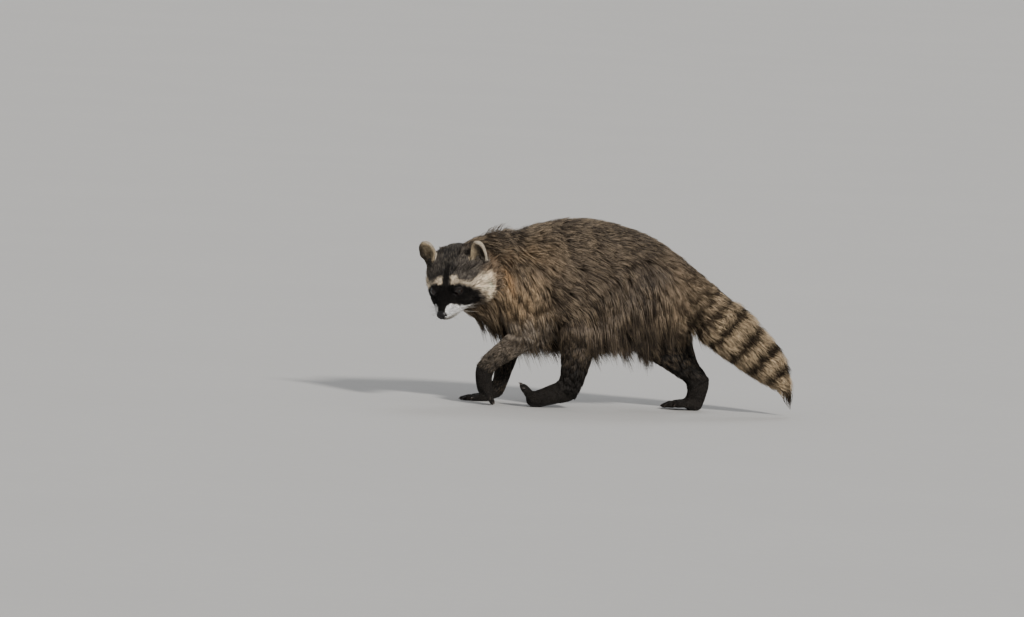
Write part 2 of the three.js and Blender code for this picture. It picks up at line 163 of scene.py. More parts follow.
# The coat by zone: how deep it is, how long its tufts are, tufts per square millimetre, how wide a
# tuft is, how far tufts draw together into locks, how far they hang free, and how much they stand up.
# Lengths in millimetres; a depth below nothing fills a form out.
ZONES = {
    "muzzle": (1.6, 3.6, 1.20, 0.62, 0.05, 0.0, 1.0),
    "eye_ring": (2.0, 3.2, 1.30, 0.58, 0.05, 0.0, 1.0),
    "forehead": (4.5, 8.0, 0.95, 0.80, 0.20, 0.0, 1.1),
    "crown": (7.0, 12.5, 0.76, 0.95, 0.30, 0.0, 1.15),
    "cheek": (11.0, 21.0, 0.60, 1.05, 0.40, 0.1, 1.1),
    "throat": (9.0, 17.0, 0.50, 1.10, 0.45, 0.15, 1.0),
    "ear": (0.2, 4.8, 1.15, 0.62, 0.10, 0.0, 1.2),
    "neck": (14.0, 31.0, 0.40, 1.30, 0.50, 0.1, 1.3),
    "chest": (16.0, 40.0, 0.36, 1.20, 0.80, 0.45, 0.95),
    "back": (12.0, 30.0, 0.40, 1.25, 0.45, 0.0, 1.2),
    "flank": (14.0, 38.0, 0.38, 1.25, 0.62, 0.12, 1.1),
    "belly": (18.0, 46.0, 0.36, 1.15, 0.85, 0.42, 0.9),
    "tail": (14.5, 32.0, 0.42, 1.20, 0.30, 0.0, 1.1),
    "upper_arm": (10.0, 40.0, 0.30, 1.20, 0.80, 0.5, 1.0),
    "forearm": (3.0, 11.0, 0.42, 1.05, 0.35, 0.0, 1.0),
    "forepaw": (-0.8, 3.6, 0.56, 0.80, 0.10, 0.0, 0.8),
    "thigh": (12.0, 46.0, 0.225, 1.20, 0.80, 0.55, 1.0),
    "shank": (4.0, 17.0, 0.30, 1.25, 0.60, 0.15, 1.0),
    "hindfoot": (-1.0, 4.2, 0.48, 0.85, 0.15, 0.0, 0.8),
}
ZONE_VALUES = ("depth", "length", "thick", "width", "lock", "hang", "rise")
ZONE_OF = {
    "head": "forehead", "nose": "muzzle", "neck": "neck", "trunk": "flank",
    **dict.fromkeys(EARS, "ear"), **dict.fromkeys(EYES, "eye_ring"), **dict.fromkeys(RINGED_TAIL, "tail"),
}
for limb_nodes in LIMB_NODES.values():
    ZONE_OF.update({node: node.split("_", 1)[1] for node in limb_nodes})

# Which pieces the coat is split into, so that none grows too heavy to handle.
COAT_PIECES = {
    "coat_face": "head_coat",
    "coat_crown": "head_coat",
    "coat_ears": "ear",
    "coat_neck": "body_coat",
    **{f"coat_{side}_{part}": "body_coat" for part in ("shoulder", "flank") for side in SIDES},
    "coat_tail": "tail_coat",
    **{f"coat_{side}_{pair}leg": "leg_coat" for pair in LIMB_PARTS for side in SIDES},
}
MOST_TRIANGLES = 198000

# The mask, the brows and the white of the muzzle, drawn on a plane that faces the left front of the
# head. Millimetres right and up from the middle between the eyes; the right side is the mirror of it.
FACE_PLANE = ((-0.3505, 0.8839, -0.3095), (-0.6430, 0.0132, 0.7657))
MASK = [
    (7.8, 11.6), (19.5, 11.0), (34.1, 7.5), (54.6, 2.4), (64.8, -4.9), (67.0, -14.4), (64.1, -17.4),
    (57.5, -21.0), (42.9, -25.0), (34.1, -26.4), (19.5, -24.4), (7.8, -22.5), (-0.2, -26.9),
    (-3.9, -36.4), (-7.5, -45.1), (-15.6, -45.1), (-11.2, 7.5), (-0.9, 8.9),
]
BROW = [
    (5.6, 9.5), (4.9, 26.0), (13.7, 27.5), (22.0, 22.5), (31.2, 19.5), (42.9, 20.5), (52.0, 26.5),
    (59.0, 33.5), (68.0, 39.5), (82.0, 38.0), (91.0, 22.0), (90.5, -4.0), (86.0, -18.0), (78.0, -26.0),
    (70.0, -24.0), (66.6, -17.1), (66.6, -7.1), (55.3, 2.8), (34.1, 8.6), (19.5, 12.0),
]
WHITE = [
    (-0.9, -27.3), (7.8, -22.9), (19.5, -24.7), (34.1, -25.6), (44.0, -24.5), (48.0, -25.5),
    (40.0, -29.5), (36.5, -31.0), (30.0, -37.0), (16.6, -47.5), (2.0, -51.5), (-3.9, -49.5), (-5.3, -40.8),
]

# Where the dark rings of the tail begin and end, along its middle line, in millimetres from its root,
# and how strong the first one is.
TAIL_RINGS = [(20, 29), (42, 51), (63, 73), (87, 98), (117, 130), (158, 173), (198, 213), (235, 246), (274, 400)]
FIRST_RING = 0.55

# Between which heights each part of a leg turns dark on the left, and how much of its tan tips it keeps; on the
# right the heights are raised as painted shade.
LEG_SHADES = {
    "upper_arm": (50, 115, 1.0), "forearm": (45, 110, 0.6), "forepaw": (90, 200, 0.1),
    "thigh": (30, 118, 1.2), "shank": (50, 140, 0.9), "hindfoot": (90, 200, 0.1),
}

# The end of each toe and a point of its claw, which gives the way it points, in millimetres.
DIGITS = {
    "left_forepaw": [
        ((-203.1, -13.1, 20.7), (-200.0, -10.6, 13.2)), ((-196.9, -21.6, 9.9), (-193.5, -20.3, 2.1)),
        ((-194.7, -34.1, 8.1), (-190.2, -34.1, 1.8)), ((-196.1, -46.7, 8.6), (-192.8, -48.1, 1.8)),
        ((-200.9, -56.4, 16.8), (-197.8, -58.9, 9.4)),
    ],
    "right_forepaw": [
        ((-225.4, 37.6, 5.1), (-231.7, 35.1, 2.6)), ((-240.3, 46.4, 3.8), (-246.9, 45.1, 1.6)),
        ((-245.6, 59.9, 3.6), (-252.4, 59.9, 1.6)), ((-242.1, 73.7, 3.6), (-248.8, 75.0, 1.6)),
        ((-230.7, 83.8, 4.7), (-237.0, 86.4, 2.1)),
    ],
    "left_hindfoot": [
        ((-132.7, -16.7, 24.9), (-137.1, -15.4, 27.9)), ((-139.7, -25.6, 32.8), (-144.2, -24.9, 35.9)),
        ((-142.7, -36.1, 36.1), (-147.2, -36.1, 39.2)), ((-141.7, -46.8, 35.0), (-146.2, -47.5, 38.1)),
        ((-136.4, -56.3, 29.0), (-140.8, -57.6, 32.0)),
    ],
    "right_hindfoot": [
        ((132.1, 42.1, 9.3), (125.5, 40.7, 6.6)), ((115.5, 51.7, 7.5), (108.8, 51.0, 4.7)),
        ((108.6, 63.9, 6.7), (101.8, 63.9, 4.0)), ((110.9, 76.5, 7.0), (104.1, 77.2, 4.2)),
        ((123.5, 87.1, 8.4), (116.9, 88.4, 5.6)),
    ],
}
TOE_TIPS = np.array([tip for digits in DIGITS.values() for tip, _ in digits]) * MM

# Which way an eye looks on the head: ahead, to its own side and up. How far from its middle the lids
# are shaped, and how wide the eye is open to its sides, above and below.
EYE_FORWARD = (0.8, 0.58, 0.18)
LID_REACH = 0.0165
EYE_OPEN = (0.86, 0.78, 0.66)

# The middle of the mouth and the line of the lips, in millimetres ahead, to the side and up.
MOUTH = (36, 0, -30)
LIP_LINE = [(42, 0, -31), (38, 8, -32.5), (28, 17, -35), (15, 26, -38), (4, 33, -41)]


# ---------------------------------------------------------------- small tools


def ease(low, high, value):
    """0 at low and 1 at high, with a soft start and end. low may be the greater of the two."""
    t = np.clip((value - low) / (high - low), 0.0, 1.0)
    return t * t * (3.0 - 2.0 * t)


def peak(value, centre, width):
    """1 at the centre, falling off softly to both sides."""
    return np.exp(-(((value - centre) / width) ** 2))


def unit(v):
    return v / np.maximum(np.linalg.norm(v, axis=-1, keepdims=True), 1e-12)


def dot(a, b):
    return (a * b).sum(axis=-1)


def apart(points, place):
    """How far each point is from a place."""
    return np.linalg.norm(points - place, axis=1)


def within(region, *nodes):
    """Which entries of region belong to the named nodes."""
    return np.isin(region, [CODE[node] for node in nodes])


def flat(v, normal):
    """The part of v that lies along the surface, made one long."""
    return unit(v - normal * dot(v, normal)[:, None])


def ripple(points, size, seed):
    """A smooth wandering value, about -1 to 1, over points in metres; size is in millimetres."""
    rng = np.random.default_rng(seed)
    total = np.zeros(len(points))
    for _ in range(7):
        way = unit(rng.normal(size=3)) * rng.uniform(0.6, 1.6) * 2 * math.pi / (size * MM)
        total += np.sin(points @ way + rng.uniform(0, 2 * math.pi))
    return total / 3.2


def inside(u, v, outline):
    """How far (u, v) is inside a closed outline; negative outside."""
    away = np.full(len(u), 1e9)
    inner = np.zeros(len(u), bool)
    for (x0, y0), (x1, y1) in zip(outline, outline[1:] + outline[:1]):
        dx, dy = x1 - x0, y1 - y0
        t = np.clip(((u - x0) * dx + (v - y0) * dy) / (dx * dx + dy * dy), 0, 1)
        away = np.minimum(away, np.hypot(u - x0 - t * dx, v - y0 - t * dy))
        if y0 != y1:
            inner ^= ((y0 > v) != (y1 > v)) & (u < dx * (v - y0) / dy + x0)
    return np.where(inner, away, -away)


def along_line(points, line):
    """For points in metres: distance gone along a line in millimetres, distance from it and its way."""
    line = np.array(line, float) * MM
    best = np.full(len(points), 1e9)
    gone = np.zeros(len(points))
    way = np.zeros((len(points), 3))
    start = 0.0
    for a, b in zip(line, line[1:]):
        step = b - a
        size = np.linalg.norm(step)
        t = np.clip((points - a) @ step / size**2, 0, 1)
        away = np.linalg.norm(points - a - t[:, None] * step, axis=1)
        nearer = away < best
        best[nearer] = away[nearer]
        gone[nearer] = start + t[nearer] * size
        way[nearer] = step / size
        start += size
    return gone / MM, best / MM, way


def on_line(gone, line):
    """Points in metres at distances in millimetres along a line."""
    line = np.array(line, float) * MM
    marks = np.concatenate([[0], np.cumsum(np.linalg.norm(np.diff(line, axis=0), axis=1))]) / MM
    return np.stack([np.interp(gone, marks, line[:, axis]) for axis in range(3)], axis=1)


def middle(node):
    low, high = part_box(node)
    return (np.array(low) + np.array(high)) / 2


class HeadSpace:
    """Ahead, left and up for the head, measured in millimetres from the middle between the eyes."""

    def __init__(self):
        left, right, nose = (middle(name) for name in ("eye_left", "eye_right", "nose"))
        self.origin = (left + right) / 2
        self.left = unit(left - right)
        lean = nose - self.origin
        lean = unit(lean - self.left * (lean @ self.left))
        above = np.cross(lean, self.left)
        # the nose lies half as far down as it lies ahead
        turn = math.atan2(20.5, 41)
        self.ahead = math.cos(turn) * lean + math.sin(turn) * above
        self.up = math.cos(turn) * above - math.sin(turn) * lean
        self.axes = np.array([self.ahead, self.left, self.up])

    def local(self, points):
        return (points - self.origin) @ self.axes.T / MM

    def world(self, local):
        return self.origin + np.array(local, float) @ self.axes * MM

    def turn(self, directions):
        return np.array(directions, float) @ self.axes


HEAD = HeadSpace()


def ear_line(sign):
    """The root and the tip of an ear on the head; sign is 1 for the left one and -1 for the right."""
    root, tip = np.array(EAR_LINE) * (1, sign, 1)
    return root, tip


def nearest(places, points):
    """For each point, which of the places is nearest to it."""
    tree = KDTree(len(places))
    for index, place in enumerate(places.tolist()):
        tree.insert(place, index)
    tree.balance()
    return np.array([tree.find(point)[1] for point in points.tolist()])


class Net:
    """The edges of a mesh, for evening out a value from each point to its neighbours."""

    def __init__(self, mesh):
        self.a, self.b = read(mesh.edges, "vertices", 2, np.int32).T
        self.count = len(mesh.vertices)
        self.share = np.bincount(self.a, minlength=self.count) + np.bincount(self.b, minlength=self.count)
        self.share = np.maximum(self.share, 1)

    def mean(self, values):
        a, b, n = self.a, self.b, self.count
        return (np.bincount(a, values[b], n) + np.bincount(b, values[a], n)) / self.share

    def even(self, values, rounds, weight=0.5):
        values = np.array(values, float)
        if values.ndim == 1:
            for _ in range(rounds):
                values += weight * (self.mean(values) - values)
            return values
        for _ in range(rounds):
            for column in values.T:
                column += weight * (self.mean(column) - column)
        return values


def read(items, field, width, kind=np.float32):
    """The named field of all items of a mesh, in rows of the given width."""
    data = np.empty(len(items) * width, kind)
    items.foreach_get(field, data)
    return data.reshape(-1, width)


def points_of(mesh):
    return read(mesh.vertices, "co", 3).astype(float)


def normals_of(mesh):
    return read(mesh.vertex_normals, "vector", 3).astype(float)


def face_middles(mesh):
    return read(mesh.polygons, "center", 3).astype(float)


def triangles_of(mesh):
    mesh.calc_loop_triangles()
    return read(mesh.loop_triangles, "vertices", 3, np.int32)


def move_points(mesh, points):
    mesh.vertices.foreach_set("co", points.astype(np.float32).ravel())
    mesh.update()


STORED = {1: ("FLOAT", "value"), 3: ("FLOAT_VECTOR", "vector"), 4: ("FLOAT_COLOR", "color")}


def keep(mesh, name, values):
    """Stores a value, a direction or a colour at every point of the mesh."""
    values = np.asarray(values, np.float32)
    kind, field = STORED[1 if values.ndim == 1 else values.shape[1]]
    mesh.attributes.new(name, kind, "POINT").data.foreach_set(field, values.ravel())


def kept(mesh, name, width=1):
    """What keep stored under a name; width is 1 for a value and 3 for a direction."""
    data = read(mesh.attributes[name].data, STORED[width][1], width).astype(float)
    return data[:, 0] if width == 1 else data


def mesh_of(name, points, triangles):
    """A new smooth-shaded mesh object from arrays of points and triangles."""
    mesh = bpy.data.meshes.new(name)
    mesh.vertices.add(len(points))
    mesh.vertices.foreach_set("co", np.asarray(points, np.float32).ravel())
    mesh.loops.add(triangles.size)
    mesh.loops.foreach_set("vertex_index", np.asarray(triangles, np.int32).ravel())
    mesh.polygons.add(len(triangles))
    mesh.polygons.foreach_set("loop_start", np.arange(0, triangles.size, 3, dtype=np.int32))
    mesh.polygons.foreach_set("use_smooth", np.ones(len(triangles), bool))
    mesh.update(calc_edges=True)
    piece = bpy.data.objects.new(name, mesh)
    bpy.context.scene.collection.objects.link(piece)
    return piece


def clear_selection():
    if bpy.context.object and bpy.context.object.mode != "OBJECT":
        leave_edit()
    bpy.ops.object.select_all(action="DESELECT")


def pick(*pieces):
    """Selects the pieces, the first of them active."""
    clear_selection()
    for piece in pieces:
        piece.select_set(True)
    bpy.context.view_layer.objects.active = pieces[0]


def edit_all():
    """Turns the active piece to edit mode with all of it selected."""
    bpy.ops.object.mode_set(mode="EDIT")
    bpy.ops.mesh.select_all(action="SELECT")


def leave_edit():
    bpy.ops.object.mode_set(mode="OBJECT")


def apply_modifier(piece, kind, **settings):
    pick(piece)
    modifier = piece.modifiers.new(kind.lower(), kind)
    for key, value in settings.items():
        setattr(modifier, key, value)
    bpy.ops.object.modifier_apply(modifier=modifier.name)


def finer_faces(piece, centres, reach):
    """Subdivides the faces that lie within reach of any of the centres."""
    middles = face_middles(piece.data)
    chosen = np.min([apart(middles, centre) for centre in centres], axis=0) < reach
    pick(piece)
    bpy.ops.object.mode_set(mode="EDIT")
    bpy.ops.mesh.select_mode(type="FACE")
    bpy.ops.mesh.select_all(action="DESELECT")
    leave_edit()
    piece.data.polygons.foreach_set("select", chosen)
    bpy.ops.object.mode_set(mode="EDIT")
    bpy.ops.mesh.subdivide(number_cuts=1, smoothness=0.6)
    leave_edit()


def join(pieces, name):
    """Makes one object of several."""
    pick(*pieces)
    if len(pieces) > 1:
        bpy.ops.object.join()
    pieces[0].name = name
    pieces[0].data.name = name
    return pieces[0]


def merged_copy(name, nodes):
    """One new object from copies of several nodes, with each solid's doubled points merged."""
    copies = []
    for node in nodes:
        copy = bpy.data.objects.new(f"{name}_{node}", frame["nodes"][node].data.copy())
        copy.data.materials.clear()
        bpy.context.scene.collection.objects.link(copy)
        pick(copy)
        edit_all()
        bpy.ops.mesh.remove_doubles(threshold=0.00002)
        leave_edit()
        copies.append(copy)
    return join(copies, name)


def remesh(piece, grain):
    apply_modifier(piece, "REMESH", mode="VOXEL", voxel_size=grain, adaptivity=0.0, use_smooth_shade=True)


def wear(piece, material):
    piece.data.materials.clear()
    piece.data.materials.append(material)


def settle(piece, material, slot, *replaced):
    """Gives a finished piece its material, and its place in the frame."""
    wear(piece, material)
    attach(piece, "root")
    if replaced:
        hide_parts(*replaced)


# ---------------------------------------------------------------- the lie and the length of the coat


def region_finder():
    """Looks up which node each point lies nearest to."""
    points, faces, owner = [], [], []
    for node in REGIONS:
        mesh = frame["nodes"][node].data
        faces.append(triangles_of(mesh) + sum(len(p) for p in points))
        points.append(points_of(mesh))
        owner += [CODE[node]] * len(faces[-1])
    tree = BVHTree.FromPolygons(np.vstack(points).tolist(), np.vstack(faces).tolist(), all_triangles=True)
    owner = np.array(owner)

    def find(where):
        return owner[[tree.find_nearest(p)[2] for p in where.tolist()]]

    return find


def zone_weights(points, normals, region):
    """How much of each zone's coat there is at each point."""
    names = list(ZONES)
    weights = np.zeros((len(points), len(names)))
    for node, zone in ZONE_OF.items():
        weights[region == CODE[node], names.index(zone)] = 1.0
    here = {name: weights[:, index] for index, name in enumerate(names)}

    def pass_on(source, target, amount):
        moved = here[source] * np.clip(amount, 0, 1)
        here[source] -= moved
        here[target] += moved

    ahead, left, up = HEAD.local(points).T
    side = np.abs(left)
    pass_on("forehead", "muzzle", ease(2, 20, ahead) * ease(34, 20, side))
    pass_on("forehead", "throat", ease(-22, -40, up - 0.2 * ahead) * ease(16, 2, ahead))
    pass_on("forehead", "crown", ease(-12, -45, ahead) * ease(5, 22, up))
    pass_on("forehead", "cheek", ease(32, 52, side + 0.45 * np.clip(-ahead - 20, 0, 60)) * ease(28, 8, up))
    near_eye = np.hypot(np.hypot(side - 22.5, ahead * 0.8), up)
    for zone in ("forehead", "crown", "cheek", "muzzle"):
        pass_on(zone, "eye_ring", ease(24, 12, near_eye))
    x, _, z = (points / MM).T
    pass_on("flank", "back", ease(0.35, 0.9, normals[:, 2]))
    pass_on("flank", "belly", ease(0.05, -0.5, normals[:, 2]))
    pass_on("flank", "chest", ease(-140, -185, x) * ease(0.3, -0.2, normals[:, 2]))
    pass_on("neck", "chest", ease(0.0, -0.6, normals[:, 2]) * ease(195, 165, z) * 0.8)
    return weights


def lie_of_coat(points, normals, region):
    """Which way the hair runs at each point, before it is evened out."""
    way = np.zeros_like(points)
    way[:] = (1.0, 0.0, -0.32)
    ahead, left, up = HEAD.local(points).T
    facing = HEAD.turn(np.stack([ahead - 46, left * 1.15, up + 20 - 0.25 * np.abs(left)], axis=1))
    backwards = HEAD.turn([[-0.45, 0.0, 0.0]])
    head = within(region, *HEAD_NODES)
    way[head] = (unit(facing) + backwards)[head]
    for sign, ear in ((1, "ear_left"), (-1, "ear_right")):
        way[region == CODE[ear]] = unit(HEAD.turn([[-0.12, 0.14 * sign, 1.0]]))[0]
    way[region == CODE["neck"]] = (1.0, 0.0, -0.35)
    trunk = region == CODE["trunk"]
    slope = -0.5 * (1 - np.abs(normals[:, 2])) - 0.05
    way[trunk] = np.stack([np.ones(len(points)), np.zeros(len(points)), slope], axis=1)[trunk]
    chest = trunk & (points[:, 0] < -0.17)
    way[chest] = (0.35, 0.0, -1.0)
    for node in RINGED_TAIL:
        there = region == CODE[node]
        way[there] = along_line(points[there], TAIL_LINE)[2]
    for limb, line in LIMB_LINES.items():
        for node in LIMB_NODES[limb]:
            there = region == CODE[node]
            down = along_line(points[there], line)[2]
            if node.endswith("upper_arm"):
                down = unit(down * 0.7 + (0.5, 0.0, -0.4))
            if node.endswith("thigh"):
                down = np.tile((0.5, 0.0, -0.85), (there.sum(), 1))
            if node.endswith("shank"):
                down = unit(down + (0.2, 0.0, -0.2))
            way[there] = down
    return way


# ---------------------------------------------------------------- markings and painted shade


def blend(colour, other, amount):
    """Mixes another colour into colour, which is changed in place."""
    colour += (np.asarray(other) - colour) * np.clip(amount, 0, 1)[:, None]


class MarkingsAndShade:
    """Mixes the colour of the coat and its painted shade at given points, one part of the body after another."""

    def __init__(self, points, normals, region):
        self.points, self.region = points, region
        self.normals = normals
        self.x, self.y, self.z = (points / MM).T
        self.wander = ripple(points, 55, 11)
        self.fine = ripple(points, 17, 12)
        self.paint = paint()
        self.colour = np.tile(np.array([*self.paint["body"], 0.70]), (len(points), 1))
        self.rgb, self.tips = self.colour[:, :3], self.colour[:, 3]

    def lay(self, name, amount):
        blend(self.rgb, self.paint[name], amount)

    def trunk(self):
        """Trunk and neck: dark along the back, warm over the shoulder, painted shade under the belly and in the
        crease behind the left shoulder.
        """
        x, z, wander = self.x, self.z, self.wander
        up = self.normals[:, 2]
        self.lay("back", ease(0.35, 0.95, up + 0.12 * wander) * 0.85)
        shoulder = ease(-50, -165, x + 12 * wander) * ease(0.9, 0.2, up)
        self.lay("shoulder", shoulder * (0.85 + 0.15 * self.fine) * (0.60 + 0.40 * ease(110, 175, z)))
        self.lay("shoulder", ease(60, 150, x + 10 * wander) * ease(0.95, 0.4, up) * 0.35)
        # painted shade: the coat is darkened where it faces down, under the belly, and a little under the low
        # chest
        self.lay("under", ease(-0.2, -0.75, up + 0.1 * wander) * 0.75)
        self.lay("under", ease(-165, -195, x) * ease(185, 150, z) * 0.05)
        behind = x - 0.12 * (235 - z) + 5 * wander
        band = peak(behind, -194, 10) * ease(200, 222, z)
        nape = ease(-246, -232, x) * ease(-180, -200, x) * ease(238, 252, z)
        self.lay("nape", np.maximum(band, nape) * 0.85)
        streak = peak(behind, -174, 9) * ease(185, 205, z) * ease(275, 250, z)
        self.lay("streak", streak * ease(0.9, 0.5, up) * 0.7)
        self.tips += 0.25 * ease(0.25, -0.4, up)
        # painted shade in the crease between the left shoulder and the flank
        crease = peak(x + 78 + 0.15 * (z - 180), 0, 16) * ease(230, 190, z) * (self.y < 16)
        self.lay("under", crease * 0.8)

    def legs(self):
        """Legs: grey tan above the wrists, dark brown towards the paws; on the right, the far side, the dark
        reaches higher as painted shade.
        """
        z, tips = self.z, self.tips
        # painted shade: on the right the dark starts higher, on the thigh most, and the right thigh keeps fewer
        # tan tips
        for side, far_shade_rise in (("left", 0), ("right", 40)):
            arms = within(self.region, f"{side}_upper_arm", f"{side}_forearm")
            self.lay("arm", arms * 0.8 * ease(165, 128, z))
            for part, (low, high, tan) in LEG_SHADES.items():
                there = within(self.region, f"{side}_{part}")
                shift = 1.6 * far_shade_rise if part == "thigh" else far_shade_rise
                self.lay("leg", there * ease(high + shift, low + shift, z + 8 * self.fine))
                tips[there] *= tan - 0.01 * far_shade_rise * (part == "thigh")
            shank = within(self.region, f"{side}_shank")
            tips[shank] *= ease(45, 105, z)[shank]

    def tail(self):
        """Tail: rings square to its run, and a black end."""
        gone, away, _ = along_line(self.points, TAIL_LINE)
        gone = gone + 3.0 * self.fine
        ring = np.zeros(len(gone))
        for first, last in TAIL_RINGS:
            strength = FIRST_RING if (first, last) == TAIL_RINGS[0] else 1.0
            here = ease(first - 6, first + 4, gone) * ease(last + 6, last - 4, gone)
            ring = np.maximum(ring, strength * here)
        rump_root = within(self.region, "trunk") * ease(12, 60, gone) * ease(64, 50, away)
        tail = np.maximum(within(self.region, *RINGED_TAIL).astype(float), rump_root)
        self.lay("tail", tail * (0.42 + 0.58 * ease(40, 150, gone)))
        self.lay("ring", tail * ring)
        self.tips += (0.6 - self.tips) * tail
        self.tips *= 1 - 0.9 * tail * ring

    def head(self):
        """Head: white brows and cheeks round a black mask, white sides of the muzzle."""
        fine, p = self.fine, self.paint
        ahead, left, up = HEAD.local(self.points).T
        side = np.abs(left)
        u, v = np.array(FACE_PLANE) @ np.stack([ahead, side, up])
        u = u + 1.2 * ripple(self.points, 9, 21)
        v = v + 1.2 * ripple(self.points, 9, 22)
        face = np.tile(np.array(p["forehead"]), (len(u), 1))
        blend(face, p["nape"], ease(-45, -75, ahead + 4 * fine))
        crown = ease(26, 10, side + 3 * fine) * ease(2, 14, up + 0.3 * (-ahead)) * ease(5, -12, ahead)
        blend(face, p["crown"], crown)
        blend(face, p["cheek_back"], ease(-30, -50, ahead) * ease(40, 55, side) * ease(24, 6, up) * 0.8)
        blend(face, p["throat"], ease(-30, -42, up) * ease(40, 15, ahead))
        soft = ease(-1.5, 2.0 + 0.12 * np.clip(u, 0, 60), inside(u, v, BROW) + 0.8 * fine)
        soft *= ease(-72, -50, ahead) * (0.80 + 0.20 * ease(30, 52, u))
        blend(face, p["brow"], soft)
        blend(face, p["cheek_edge"], soft * ease(-34, -58, ahead) * 0.6)
        blend(face, p["white"], ease(-1.2, 1.5, inside(u, v, WHITE)))
        stripe = ease(6.5, 4.0, side + 1.0 * fine) * ease(14, 2, ahead) * ease(-50, -20, ahead)
        blend(face, p["mask"], stripe * 0.85)
        blend(face, p["mask"], ease(-1.2, 1.5, inside(u, v, MASK)) * ease(-52, -42, ahead))
        blend(face, p["mask"], ease(9, 6.5, side) * ease(-4, 3, ahead) * ease(-34, -28, up))
        blend(face, p["chin"], ease(-29, -33, up - 0.1 * ahead) * ease(18, 28, ahead) * 0.8)
        head = within(self.region, *HEAD_NODES)
        self.rgb[head] = face[head]
        # mid tones have the most tan tips, black and white hair has next to none
        bright = face.mean(axis=1)
        self.tips[head] = (0.05 + 0.30 * ease(0.012, 0.035, bright) * ease(0.45, 0.15, bright))[head]

    def ears(self):
        """Ears: pale rims, tan inside their front edge, dark in the hollow."""
        place = HEAD.local(self.points)
        for sign, ear in ((1, "ear_left"), (-1, "ear_right")):
            there = within(self.region, ear)
            root, tip = ear_line(sign)
            rise = (place - root) @ (tip - root) / np.linalg.norm(tip - root) ** 2
            across = (place[:, 1] * sign - 47 - 6 * rise) / 17
            rim = np.hypot(np.clip(rise - 0.25, 0, 9) / 0.78, across)
            hollow = ease(0.3, 0.75, self.normals @ unit(HEAD.turn([[0.91, 0.42 * sign, 0]]))[0])
            inner = np.tile(np.array(self.paint["ear"]), (len(place), 1))
            blend(inner, self.paint["ear_dark"], hollow * ease(0.9, 0.6, rim) * ease(-0.5, 0.1, across))
            blend(inner, self.paint["ear_fluff"], hollow * ease(0.3, -0.3, across))
            blend(inner, self.paint["rim"], ease(0.86, 0.97, rim))
            self.rgb[there] = inner[there]
            self.tips[there] = 0.3


def markings_and_shade(points, normals, region):
    """The colour of the coat at each point, painted shade included, with how tan its tips are as the fourth
    number.
    """
    marks = MarkingsAndShade(points, normals, region)
    for part in (marks.trunk, marks.legs, marks.tail, marks.head, marks.ears):
        part()
    marks.rgb *= (1 + 0.10 * marks.wander + 0.10 * marks.fine)[:, None]
    return np.clip(marks.colour, 0.002, 0.95)


def paint():
    """The colours of the coat, as plain tuples."""
    colours = bpy.context.scene.raccoon_colours
    return {name: tuple(getattr(colours, name)) for name in CoatColours.__annotations__}


# ---------------------------------------------------------------- materials


class Shader:
    """Lays out the nodes of one material."""

    def __init__(self, name):
        self.material = bpy.data.materials.get(name) or bpy.data.materials.new(name)
        self.material.use_nodes = True
        self.tree = self.material.node_tree
        self.tree.nodes.clear()
        self.output = self.add("ShaderNodeOutputMaterial")
        self.surface = self.add("ShaderNodeBsdfPrincipled")
        self.link(self.surface, "BSDF", self.output, "Surface")

    def add(self, kind, **settings):
        node = self.tree.nodes.new(kind)
        for key, value in settings.items():
            if key in node.inputs:
                node.inputs[key].default_value = value
            else:
                setattr(node, key, value)
        return node

    def link(self, source, output, target, entry):
        self.tree.links.new(source.outputs[output], target.inputs[entry])

    def put(self, value, target, entry):
        if isinstance(value, tuple) and len(value) == 2 and hasattr(value[0], "outputs"):
            self.link(value[0], value[1], target, entry)
        else:
            target.inputs[entry].default_value = value

    def attribute(self, name, output="Color"):
        return self.add("ShaderNodeAttribute", attribute_name=name), output

    def mix(self, amount, first, second, kind="MIX"):
        node = self.add("ShaderNodeMix", data_type="RGBA", blend_type=kind, clamp_factor=True)
        self.put(amount, node, 0)
        self.put(first, node, 6)
        self.put(second, node, 7)
        return node, 2

    def math(self, operation, first, second=0.0):
        node = self.add("ShaderNodeMath", operation=operation)
        self.put(first, node, 0)
        self.put(second, node, 1)
        return node, 0

    def span(self, value, low, high, to_low=0.0, to_high=1.0):
        node = self.add("ShaderNodeMapRange", interpolation_type="SMOOTHSTEP")
        self.put(value, node, "Value")
        for entry, number in (("From Min", low), ("From Max", high), ("To Min", to_low), ("To Max", to_high)):
            node.inputs[entry].default_value = number
        return node, "Result"

    def noise(self, scale, detail=3.0, roughness=0.6, stretch=(1, 1, 1)):
        where = self.add("ShaderNodeTexCoord")
        mapping = self.add("ShaderNodeMapping")
        mapping.inputs["Scale"].default_value = stretch
        self.link(where, "Object", mapping, "Vector")
        node = self.add("ShaderNodeTexNoise", Scale=scale, Detail=detail, Roughness=roughness)
        self.link(mapping, "Vector", node, "Vector")
        return node, "Fac"

    def bump(self, height, strength, distance):
        node = self.add("ShaderNodeBump", Strength=strength, Distance=distance)
        self.put(height, node, "Height")
        self.link(node, "Normal", self.surface, "Normal")

    def colour(self, value):
        self.put(value, self.surface, "Base Color")

    def finish(self, shine):
        self.put(shine, self.surface, "Specular IOR Level")
        return self.material


